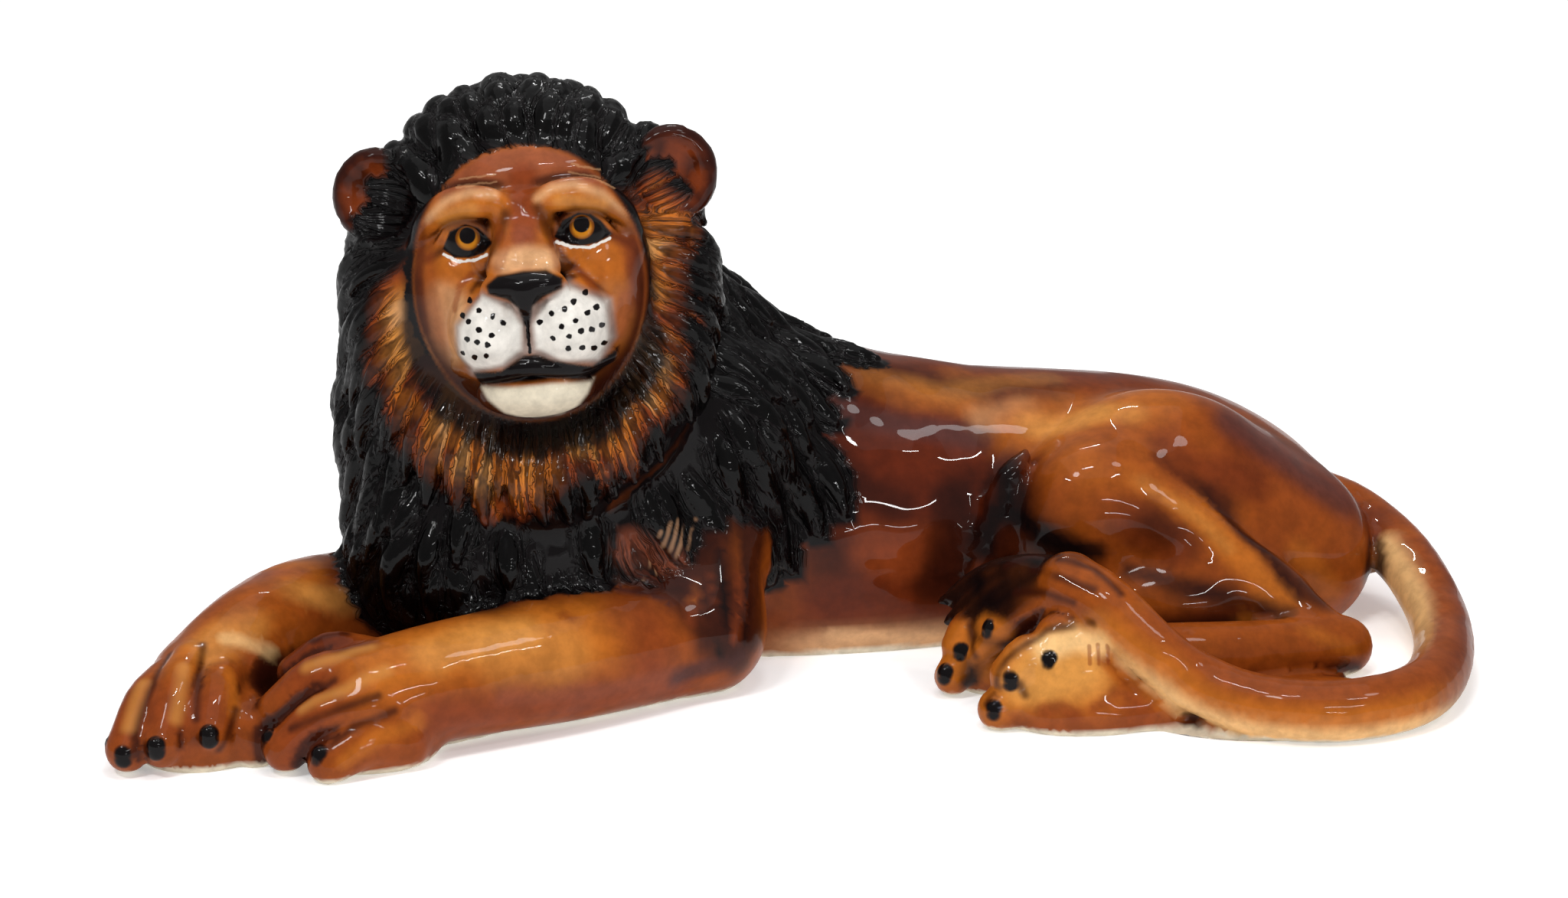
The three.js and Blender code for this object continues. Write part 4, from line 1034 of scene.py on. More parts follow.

# Smaller strokes, laid over the first ones, some of them painted highlights and shade
DETAIL_STROKES = [
    (GOLD, 0.4, 10, [(139, 43, 124), (168, 40, 130), (194, 24, 132)]),
    (RUST, 0.6, 14, [(150, -10, 96), (172, -20, 92), (206, -38, 70)]),
    (RUST, 0.5, 14, [(215, 10, 112), (240, 0, 100)]),
    (BLACK, 0.8, 8, [(102, 8, 74), (92, 4, 52), (86, 2, 36)]),
    (DARK_BROWN, 0.8, 13, [(86, 10, 92), (80, 6, 62), (74, 6, 42)]),
    (DARK_BROWN, 0.6, 9, [(192, -32, 84), (201, -36, 80)]),
    # Painted shade in the crease between calf and thigh, and painted highlight along the calf's ridge
    (DARK_BROWN, 0.8, 5, [(202, -6, 115), (228, -13, 96), (256, -31, 68), (274, -55, 43)]),
    (AMBER, 0.6, 8, [(184, -16, 111), (216, -31, 90), (245, -43, 64), (265, -56, 40)]),
    (GOLD, 0.3, 5, [(190, -20, 106), (216, -31, 90), (236, -40, 72)]),
    (PLUM, 0.6, 13, [(253, 20, 125), (295, 22, 94), (319, 20, 76)]),
    (AMBER, 0.5, 9, [(287, -9, 55), (310, -3, 27)]),
    (BLACK, 0.9, 7, [(115, 5, 108), (117, 0, 86), (137, -20, 75), (162, -29, 69)]),
    (BLACK, 0.9, 7, [(110, 2, 86), (104, -1, 63), (89, -51, 60)]),
    # Painted shade under the thigh
    (DARK_BROWN, 0.8, 6, [(181, -33, 57), (220, -50, 48), (265, -58, 36)]),
    (AMBER, 0.5, 5, [(243, -52, 31), (275, -78, 30), (299, -77, 17)]),
    (RUST, 0.7, 12, [(36, 4, 65), (56, 4, 58)]),
    (DARK_BROWN, 0.8, 12, [(19, 14, 115), (38, 12, 99), (57, 10, 90)]),
    (DARK_BROWN, 0.8, 8, [(93, 15, 94), (88, 8, 69), (80, 6, 50)]),
    (BEIGE, 0.8, 5, [(18, 10, 15), (46, 12, 11), (79, 15, 7)]),
    (GOLD, 0.2, 10, [(50, 64, 154), (94, 58, 142), (127, 76, 142), (160, 84, 140)]),
    (PLUM, 0.7, 9, [(27, 38, 139), (65, 34, 129), (109, 35, 120)]),
    (PINK_BROWN, 0.55, 7, [(-311, -3, 72), (-285, 2, 73)]),
    (GOLD, 0.6, 9, [(-291, -19, 69), (-259, -6, 58)]),
    (HONEY, 0.55, 5, [(-328, -58, 57), (-304, -54, 47)]),
    (BLACK, 0.85, 6, [(-239, -26, 61), (-226, -29, 57)]),
    (AMBER, 0.6, 5, [(-329, -82, 48), (-328, -100, 32)]),
    (AMBER, 0.7, 5, [(-271, -139, 13), (-253, -134, 24), (-231, -124, 28)]),
    # Painted highlight on the top of the near foreleg
    (GOLD, 0.4, 20, [(-186, -100, 56), (-150, -92, 50)]),
    (AMBER, 0.7, 7, [(-242, -6, 45), (-203, -71, 67)]),
    (RUST, 0.6, 4, [(-148, -77, 66), (-100, -75, 34), (-81, -57, 12)]),
    (PINK_BROWN, 0.6, 6, [(-184, -109, 33), (-126, -86, 26), (-86, -67, 25)]),
    (PLUM, 0.85, 7, [(-82, -63, 21), (-47, -51, 27)]),
    (BLACK, 0.95, 9, [(-62, -20, 112), (-64, -24, 87), (-73, -31, 78)]),
    (BLACK, 0.95, 9, [(-50, -17, 113), (-50, -19, 93)]),
    (DARK_BROWN, 0.9, 17, [(-64, -20, 110), (-60, -26, 88), (-56, -40, 62), (-54, -50, 40)]),
    (RUST, 0.6, 4, [(-69, -38, 70), (-71, -47, 61), (-74, -56, 52)]),
    (AMBER, 0.4, 2.5, [(-70, -40, 68), (-72, -50, 58)]),
    (RUST, 0.5, 2.5, [(-60, -38, 68), (-62, -50, 52)]),
    (BLACK, 0.85, 4, [(-52, -27, 80), (-55, -47, 56), (-57, -56, 31)]),
    (RUST, 0.6, 4, [(-44, -34, 68), (-45, -42, 57), (-49, -53, 37)]),
    (BLACK, 0.9, 5, [(-35, -14, 102), (-40, -40, 53), (-43, -49, 38)]),
    (PLUM, 0.8, 3.5, [(-85, -52, 61), (-99, -50, 67), (-113, -50, 69)]),
    (AMBER, 0.95, 8, [(76, -61, 37), (73, -66, 27), (70, -68, 18)]),
    (AMBER, 0.95, 7, [(88, -69, 44), (95, -84, 45), (97, -104, 44)]),
    (AMBER, 0.95, 8, [(83, -73, 29), (91, -77, 30), (91, -75, 17)]),
    (HONEY, 0.85, 8, [(111, -120, 47), (127, -118, 51), (141, -121, 48)]),
    (RUST, 0.75, 5, [(109, -132, 15), (116, -134, 17), (123, -137, 14)]),
    (RUST, 0.6, 4, [(134, -137, 17), (146, -133, 23)]),
    (RUST, 0.55, 16, [(-300, -22, 72), (-324, -34, 66)]),
    (RUST, 0.4, 16, [(178, -6, 112), (208, -14, 106)]),
    (BLACK, 0.8, 9, [(132, -90, 82), (118, -78, 80)]),
    (DARK_BROWN, 0.9, 10, [(-28, -8, 104), (-31, -20, 78), (-35, -34, 54), (-38, -42, 36)]),
]

# Painted shade: dark lines in the grooves between the toes, round the near hind foot and in the tail's brush
SHADE_LINES = [
    [(-359, -59, 50), (-369, -86, 43), (-377, -100, 30), (-380, -108, 22)],
    [(-341, -62, 56), (-345, -87, 44), (-347, -105, 30)],
    [(-326, -98, 31), (-331, -109, 22), (-336, -111, 14)],
    [(-306, -107, 28), (-289, -111, 40), (-274, -114, 50)],
    [(-298, -123, 28), (-273, -128, 39), (-252, -127, 45)],
    [(-283, -137, 20), (-265, -130, 30), (-244, -127, 36)],
    [(82, -62, 41), (82, -69, 33), (83, -73, 27)],
    [(78, -121, 17), (90, -117, 40), (113, -114, 55), (138, -118, 59)],
    [(89, -122, 34), (96, -124, 28), (99, -125, 22)],
    [(153, -118, 75), (142, -102, 84), (125, -91, 87)],
    [(139, -113, 76), (123, -100, 80), (114, -77, 77)],
    [(129, -109, 68), (117, -96, 70), (104, -78, 65)],
    [(-299, -80, 45), (-292, -44, 43), (-282, -79, 61), (-265, -78, 63)],
    [(126, -87, 88), (116, -67, 82), (102, -61, 75)],
]

# Painted highlights: golden lines along the ridges of the toes
TOE_HIGHLIGHTS = [
    [(-374, -82, 44), (-383, -103, 27)],
    [(-352, -82, 51), (-358, -105, 31)],
    [(-288, -103, 55), (-271, -104, 60), (-254, -101, 63)],
    [(-292, -119, 38), (-268, -122, 48), (-247, -117, 55)],
]

# Short rust lines across the near hind foot
WRINKLES = [
    [(135, -122, 47), (134, -128, 39)],
    [(140, -121, 47), (139, -127, 38)],
    [(145, -123, 47), (145, -126, 38)],
]

# Pale strands that hang from the chest between the mane and the elbow
PALE_STRANDS = [
    [(-66, -20, 98), (-71, -29, 84)],
    [(-71, -24, 100), (-76, -30, 86), (-80, -33, 77)],
    [(-76, -28, 101), (-81, -31, 86), (-86, -35, 74)],
    [(-81, -30, 100), (-87, -32, 84), (-92, -38, 72)],
    [(-87, -33, 96), (-93, -36, 82), (-99, -41, 71)],
]

# The tail's under side, from the foot round the bend to the rump
TAIL_LINE = [
    (160, -118, 46), (191, -134, 28), (222, -151, 16), (264, -164, 14), (310, -150, 14), (340, -110, 16),
    (358, -50, 20), (356, 10, 34),
]

# A reddish tuft of hair at the chest, and the shade under it
CHEST_TUFT = [(-104, -40, 90), (-92, -36, 80), (-84, -34, 76)]
CHEST_SHADE = [(-98, -43, 70), (-86, -41, 69), (-76, -40, 70)]

# Painted in the face's own plane: stain, strength, softness in mm, radius, (right, up) points
FACE_STROKES = [
    (PINK_BROWN, 0.8, 9, 14, [(-36, 32), (0, 37), (44, 32)]),
    (RUST, 0.9, 4, 8, [(2, 30), (2.3, 11), (1.5, 2)]),
    (AMBER, 0.9, 4, 7.5, [(-46, 11), (-30, 17), (-14, 18)]),
    (AMBER, 0.9, 4, 7.5, [(16, 18), (34, 16), (54, 5)]),
    (BEIGE, 0.7, 2.5, 2.2, [(-51, 12), (-39, 21.5), (-26, 25), (-13, 23)]),
    (BEIGE, 0.7, 2.5, 2.2, [(10, 19), (18, 24), (30, 25), (44, 18.5), (57, 6)]),
    (GOLD, 0.5, 3, 4, [(-42, 12), (-26, 16)]),
    (GOLD, 0.5, 3, 4, [(22, 17), (44, 12)]),
    (BEIGE, 0.75, 5, 13, [(-44, -34), (-46, -56)]),
    (BEIGE, 0.6, 5, 9, [(49, -36), (50, -58)]),
    (PINK_BROWN, 0.75, 5, 7, [(59, -14), (59, -40)]),
    (AMBER, 0.7, 4, 8, [(-34, -20), (-46, -12)]),
    (AMBER, 0.7, 4, 8, [(34, -20), (48, -14)]),
    (PINK_BROWN, 0.55, 3, 5.5, [(1, 0), (1, -12)]),
    (BEIGE, 0.85, 3.5, 6, [(-9, -12), (3, -11), (15, -13)]),
    # Painted shade in the hollows between the inner corners of the eyes and the bridge of the nose
    (DARK_BROWN, 0.75, 2.5, 3, [(-16, -5), (-11, 3), (-8, 12)]),
    (DARK_BROWN, 0.75, 2.5, 3, [(17, -4), (13, 5), (10, 14)]),
    (DARK_BROWN, 0.8, 1.5, 1.2, [(-17, -8), (-21, -18), (-29, -27)]),
    (DARK_BROWN, 0.8, 1.5, 1.2, [(19, -9), (24, -17), (34, -27), (44, -36)]),
    (DARK_BROWN, 0.8, 2.5, 2.5, [(-45, -6), (-53, -10)]),
    (DARK_BROWN, 0.8, 2.5, 2.5, [(47, -5), (56, -10)]),
    # Painted shade along the upper lids, under the brows
    (DARK_BROWN, 0.7, 3, 2.6, [(-42, 7), (-30, 10), (-19, 6)]),
    (DARK_BROWN, 0.7, 3, 2.6, [(18, 7), (30, 11), (44, 7)]),
    (RUST, 0.7, 8, 13, [(54, -16), (54, -44), (48, -66)]),
    (ORANGE_BROWN, 0.4, 7, 10, [(-50, -22), (-51, -48)]),
    (RUST, 0.6, 2.5, 5, [(63.1, -3.2), (62.8, -46.0), (50.5, -76.7)]),
    (AMBER, 0.6, 3.0, 6, [(46.0, -14.7), (49.8, -50.4), (45.0, -67.2)]),
    (PINK_BROWN, 0.5, 2.5, 5, [(52.5, -39.9), (45.7, -57.1)]),
    (RUST, 0.5, 3.0, 6, [(-54.9, -4.0), (-54.2, -34.9), (-51.4, -63.9)]),
    (RED_BROWN, 0.6, 1.5, 3, [(-54.5, 13.8), (-59.4, -17.5), (-58.8, -49.2)]),
    (RUST, 0.6, 0.9, 1.8, [(26.7, -19.8), (34.9, -28.6), (41.0, -42.3)]),
    (RUST, 0.6, 0.9, 1.8, [(-28.9, -18.9), (-36.2, -25.1), (-39.1, -36.1)]),
    (RUST, 0.5, 1.5, 3, [(-14.0, 8.1), (-8.8, -4.9), (-12.6, -14.4)]),
    (RUST, 0.5, 1.5, 3, [(22.0, 8.3), (17.7, -4.9), (19.5, -15.8)]),
]

# Painted in the same plane, as filled outlines: stain, strength, softness, outline
FACE_PATCHES = [
    (GREY, 0.8, 2.2, [
        (-22, -27), (-39, -44), (-40, -62), (-33, -72), (-14, -69), (0, -62), (15, -69), (36, -72),
        (45, -60), (45, -38), (23, -25), (8, -34), (-8, -33),
    ]),
    (WHITE, 1.0, 2.0, [
        (-22, -29), (-36, -45), (-37.5, -61), (-31.5, -69), (-15, -66.5), (-4, -59), (-2.5, -46), (-8, -36),
    ]),
    (WHITE, 1.0, 2.0, [
        (23, -28), (42, -39), (42, -59), (35, -69), (16, -66), (4, -59), (4, -46), (10, -36),
    ]),
    (BLACK, 1.0, 1.0, [
        (-19.5, -23), (-13, -18.5), (1, -17), (13, -17.5), (21.5, -22.5), (20.5, -28), (11, -31.5),
        (4.5, -36), (2, -46), (-1.2, -46), (-3.5, -36), (-9, -31.5), (-18.5, -28),
    ]),
    (BLACK, 1.0, 1.0, [
        (-32, -71), (-16, -70), (-3, -62.5), (3, -62.5), (11, -66), (32, -72.5), (46, -65), (44, -72),
        (31, -80), (10, -77), (-10, -77.5), (-29, -78),
    ]),
    (CREAM, 1.0, 1.5, [
        (-29, -79), (-10, -79.5), (10, -79), (31, -81), (28, -87), (22, -94), (12, -99.5), (-3, -100),
        (-17, -94), (-25, -86),
    ]),
    (BLACK, 1.0, 0.6, [
        (-44.5, -5), (-39.5, 4.5), (-30.5, 8), (-23.5, 5.5), (-16.5, -3), (-21, -8), (-30, -10.5),
        (-38.5, -10),
    ]),
    (BLACK, 1.0, 0.6, [
        (16.5, -2.5), (21.8, 6), (30.4, 9.5), (37.4, 8), (42.5, 3.5), (47.5, -4.5), (39, -8), (31, -8.8),
        (23, -7),
    ]),
]

# Edge of the red-brown ruff round the face
RUFF_OUTLINE = [
    (-58, -6), (-80, -20), (-90, -36), (-90, -60), (-85, -84), (-63, -127), (-32, -148), (3, -147),
    (45, -128), (73, -97), (86, -57), (84, -30), (96, -8), (92, 14), (72, 22), (56, 14),
]
EYES = [(-29.9, 0.2), (31.8, 1.5)]
IRIS_RADIUS = 6.6
PUPIL_RADIUS = 4.4
MUZZLE_LINES = [[(0.4, -38), (0.4, -61)]]
# Painted highlights: thin pale lines across the forehead, in place of the light on its wrinkles
BROW_HIGHLIGHTS = [
    [(-32.5, 31.6), (-12.8, 32.8)],
    [(-33.5, 28), (-12.4, 28.8)],
    [(28.8, 34.8), (43.7, 30.3), (51.8, 24.5)],
    [(26.9, 31), (41.8, 26.5), (50.8, 20.4)],
]
LID_LINES = [[(-44, -8), (-37, -11.8), (-28, -12), (-20, -9)], [(18, -5), (25, -8.6), (35, -10), (46, -6.5)]]
WHISKER_SPOTS = [
    (-29.6, -31.6), (-24.5, -36.1), (-17.2, -39.6), (-12.3, -43.7), (-33.8, -38.7), (-30.6, -41.6),
    (-25, -46), (-18.3, -49.4), (-32, -51.1), (-26.5, -52.4), (-21, -54.2), (-35.8, -59), (-29.1, -61.1),
    (-22.6, -60.4), (26.2, -35.5), (31.9, -32), (37.4, -40.2), (14.1, -40.4), (20.9, -38.9), (32.7, -42.1),
    (7.2, -44.8), (18.8, -47.7), (26.5, -45.5), (28.9, -51.2), (34.4, -51.4), (39.3, -50.3), (22.5, -53.4),
    (13.8, -53.7), (21.2, -60), (28.4, -60.2), (34.3, -61.9), (39.4, -60.4),
]


# How near points are to a line through some points, in mm
def line_distance(p, line):
    line = np.asarray(line, float)
    best = np.full(len(p), 1e9)
    for a, b in zip(line[:-1], line[1:]):
        ab = b - a
        t = np.clip((p - a) @ ab / max(ab @ ab, 1e-9), 0, 1)
        best = np.minimum(best, np.linalg.norm(p - a - t[:, None] * ab, axis=1))
    return best


# How far points are outside a closed outline; less than 0 inside it
def outline_distance(p, outline):
    inside = np.zeros(len(p), bool)
    for (ax, ay), (bx, by) in zip(outline, outline[1:] + outline[:1]):
        between = (ay > p[:, 1]) != (by > p[:, 1])
        inside ^= between & (p[:, 0] < (bx - ax) * (p[:, 1] - ay) / (by - ay + 1e-9) + ax)
    edge = line_distance(p, outline + outline[:1])
    return np.where(inside, -edge, edge)


# Soft clouds of about a given size, from 0 to 1
def clouds(p, size, seed):
    total = np.zeros(len(p))
    ways = np.random.default_rng(seed).normal(size=(9, 3))
    for k, way in enumerate(ways):
        total += np.sin(p @ way * (2.2 / size) + 2.4 * k + 1.5 * np.sin(p @ np.roll(way, 1) * (1.1 / size)))
    return 0.5 + 0.5 * np.tanh(total / 3)


# Airbrushed stains under the glaze, with painted shade and highlights laid in among them, worked out for each
# point of the surface
def stains_and_painted_light(p, n, crease, mane, owner):
    colour = np.tile(ORANGE_BROWN, (len(p), 1))
    x, y, z = p.T
    q = to_head(p)
    flat = q[:, :2]
    right, up, out = q.T

    def paint_over(amount, stain_and_painted_light):
        nonlocal colour
        colour = colour + (stain_and_painted_light - colour) * np.clip(amount, 0, 1)[:, None]

    def near(line, low, high, place=p):
        return 1 - smooth(line_distance(place, line), low, high)

    # Lays a table of strokes: stains, with painted highlights and shade among them
    def airbrush(strokes, place, low, high):
        for stain_and_painted_light, strength, radius, line in strokes:
            paint_over(strength * (1 - smooth(line_distance(place, line) / radius, low, high)), stain_and_painted_light)

    cloud = clouds(p, 30, 3)
    flow = p + 6 * np.column_stack([clouds(p, 26, seed) - 0.5 for seed in (4, 5, 6)])
    hair = (owner >= 0) * 1.0

    # Body
    paint_over(0.35 * cloud, RUST)
    trunk = smooth(x, -40, 20) * (1 - smooth(x, 90, 150)) * smooth(y, -40, -10)
    far_side = smooth(y, 40, 120)
    paint_over(0.8 * trunk * (1 - 0.8 * far_side), RED_BROWN)
    paint_over(0.75 * far_side * smooth(z + 20 * cloud, 60, 130), RED_BROWN)
    paint_over(0.5 * far_side * (1 - smooth(z + 20 * cloud, 40, 90)), AMBER)
    airbrush(BODY_STROKES, flow, 0.35, 1.5)
    belly = trunk * (1 - smooth(z, 9, 24))
    paint_over(0.8 * belly, BEIGE)

    # Tail: rust above, honey below and on the inside of the bend
    tail = near(TAIL_LINE, 21, 26)
    paint_over(tail * 0.9, AMBER)
    paint_over(tail * 0.8 * smooth(n[:, 2], 0.1, 0.8), RUST)
    paint_over(tail * 0.8 * (1 - smooth(n[:, 2], -0.5, 0.05)), HONEY)
    bend = smooth(x, 300, 350)
    paint_over(tail * 0.7 * bend * smooth(n[:, 0], 0, 0.7), RED_BROWN)
    paint_over(tail * 0.8 * bend * smooth(-n[:, 0], 0.1, 0.8), HONEY)

    # Painted shade: every hollow is darker, most of all between the toes
    hollow = smooth(crease, 0.25, 0.85) * (1 - 0.5 * tail)
    paint_over(0.85 * hollow, RED_BROWN)
    paint_over(0.85 * smooth(crease, 0.55, 0.95), DARK_BROWN)
    paw = (z < 62) * np.maximum(x < -272, (x > 60) & (x < 130) & (y < -40))
    paint_over(0.8 * paw * smooth(crease, 0.12, 0.4), DARK_BROWN)
    for i in range(TUFT_LOCKS):
        k = i / (TUFT_LOCKS - 1) - 0.5
        lock = [
            (126, -82 + 16 * k, 76 + 10 * k), (104, -66 + 26 * k, 64 + 20 * k),
            (86, -54 + 36 * k, 44 + 28 * k), (77 - 6 * k, -46 + 40 * k, 28 + 30 * k),
        ]
        paint_over(0.95 * near(lock, 5, 10), BLACK)
    airbrush(DETAIL_STROKES, p + 0.3 * (flow - p), 0.3, 1.4)

    # Hair
    r = face_reach(q)
    scalp = smooth(r, 1.0, 1.05) * (1 - smooth(r, 1.7, 1.9)) * (out > -120)
    mass = np.maximum(1 - smooth(mane, 2, 10), np.maximum(scalp, hair))
    paint_over(mass, BLACK)
    shoulder = (1 - smooth(mane, 8, 34)) * (1 - mass)
    paint_over(0.55 * shoulder, DARK_BROWN)
    edge = outline_distance(flat, RUFF_OUTLINE) + 12 * (scatter(owner) - 0.5) + 8 * (cloud - 0.5)
    ruff = (1 - smooth(edge, -2, 7)) * (out > -95) * hair
    paint_over(ruff, RUST)
    paint_over(ruff * 0.95 * (1 - smooth(edge, -12, 2)) * smooth(clouds(p, 12, 8), 0.05, 0.45), AMBER)
    paint_over(ruff * 0.75 * (1 - smooth(edge, -18, -4)) * smooth(scatter(owner + 7), 0.45, 0.65), GOLD)
    paint_over(ruff * 0.6 * (1 - smooth(edge, -22, -6)) * smooth(scatter(owner + 7), 0.75, 0.9), BEIGE)
    # Painted shade: black deep in the crevices between the ruff's locks
    paint_over(ruff * 0.85 * smooth(crease, 0.25, 0.7), BLACK)
    under = smooth(-up, 20, 95)
    paint_over(ruff * 0.95 * (1 - smooth(r - 0.2 * under + 0.1 * (scatter(owner) - 0.5), 1.04, 1.16)), BLACK)
    paint_over(near(CHEST_TUFT, 6, 16) * 0.65 * hair, PINK_BROWN)
    paint_over(near(CHEST_SHADE, 5, 13) * 0.85, DARK_BROWN)

    # Ears: dark rim, brown bowl with dark hairs
    side = np.abs(right)
    ear = np.hypot((side - EAR_RIGHT) / EAR_BOWL[0], (up - EAR_UP) / EAR_BOWL[1])
    bowl = (1 - smooth(ear, 0.75, 1.05)) * (out > -62) * (owner < 0)
    rim = (1 - smooth(ear, 1.3, 1.5)) * (out > -75) * (out < -20) * (owner < 0)
    paint_over(rim, DARK_BROWN)
    paint_over(bowl * 0.9, RUST)
    fan = np.sin(14 * np.arctan2(up + 4, side - 62) + 3 * cloud)
    paint_over(bowl * 0.8 * smooth(fan, 0.1, 0.9), DARK_BROWN)

    # Face
    face = (1 - smooth(r, 0.98, 1.03)) * (out > FACE_BACK)
    paint_over(face, AMBER)
    paint_over(face * 0.4 * clouds(p, 9, 12), RUST)
    for stain_and_painted_light, strength, soft, radius, line in FACE_STROKES:
        paint_over(face * strength * near(line, radius - soft, radius + soft, flat), stain_and_painted_light)
    # Painted shade: darker in the face's creases, fading out on its foremost parts
    paint_over(face * 0.75 * smooth(crease, 0.3, 0.8) * (1 - smooth(out, 10, 20)), DARK_BROWN)
    paint_over(face * 0.9 * smooth(r, 0.84, 1.0) * smooth(-up, -36, 40), DARK_BROWN)
    jaw = smooth(r + 0.06 * cloud, 0.7, 0.86) * smooth(-up + 0.25 * np.abs(right - 4), 66, 92)
    paint_over(face * 0.92 * jaw, DARK_BROWN)
    front = face * (out > FACE_FRONT)
    for stain_and_painted_light, strength, soft, outline in FACE_PATCHES:
        paint_over(front * strength * (1 - smooth(outline_distance(flat, outline), -soft, soft)), stain_and_painted_light)

    # Raw edge around the foot, where the glaze was wiped off
    paint_over(1 - smooth(z, RAW_RIM - 1, RAW_RIM + 0.5), CREAM)
    return colour


# Adds one node with its settings and what feeds its inputs, and gives its outputs
def add_node(tree, kind, inputs=(), **settings):
    node = tree.nodes.new("ShaderNode" + kind)
    for name, value in settings.items():
        setattr(node, name, value)
    named = inputs if isinstance(inputs, dict) else dict(enumerate(inputs))
    for key, value in named.items():
        if isinstance(value, bpy.types.NodeSocket):
            tree.links.new(value, node.inputs[key])
        else:
            node.inputs[key].default_value = value
    return node.outputs


# How near the surface is to any of some lines, as a share of the brush's radius
def brush_share(tree, place, lines, radius):
    nearest = None
    for line in lines:
        for a, b in zip(line[:-1] or line, line[1:] or line):
            a, b = (np.array([*point, 0.0][:3]) for point in (a, b))
            if (a == b).all():
                off = add_node(tree, "VectorMath", [place, a], operation="DISTANCE")["Value"]
            else:
                way = b - a
                rate = way / (way @ way)
                start = add_node(tree, "VectorMath", [place, a], operation="SUBTRACT")[0]
                part = add_node(tree, "VectorMath", [start, rate], operation="DOT_PRODUCT")["Value"]
                held = add_node(tree, "Clamp", [part])[0]
                spot = add_node(tree, "VectorMath", {0: way, "Scale": held}, operation="SCALE")[0]
                off = add_node(tree, "VectorMath", [start, spot], operation="DISTANCE")["Value"]
            if nearest:
                off = add_node(tree, "Math", [nearest, off], operation="MINIMUM")[0]
            nearest = off
    return add_node(tree, "Math", [nearest, radius], operation="DIVIDE")[0]


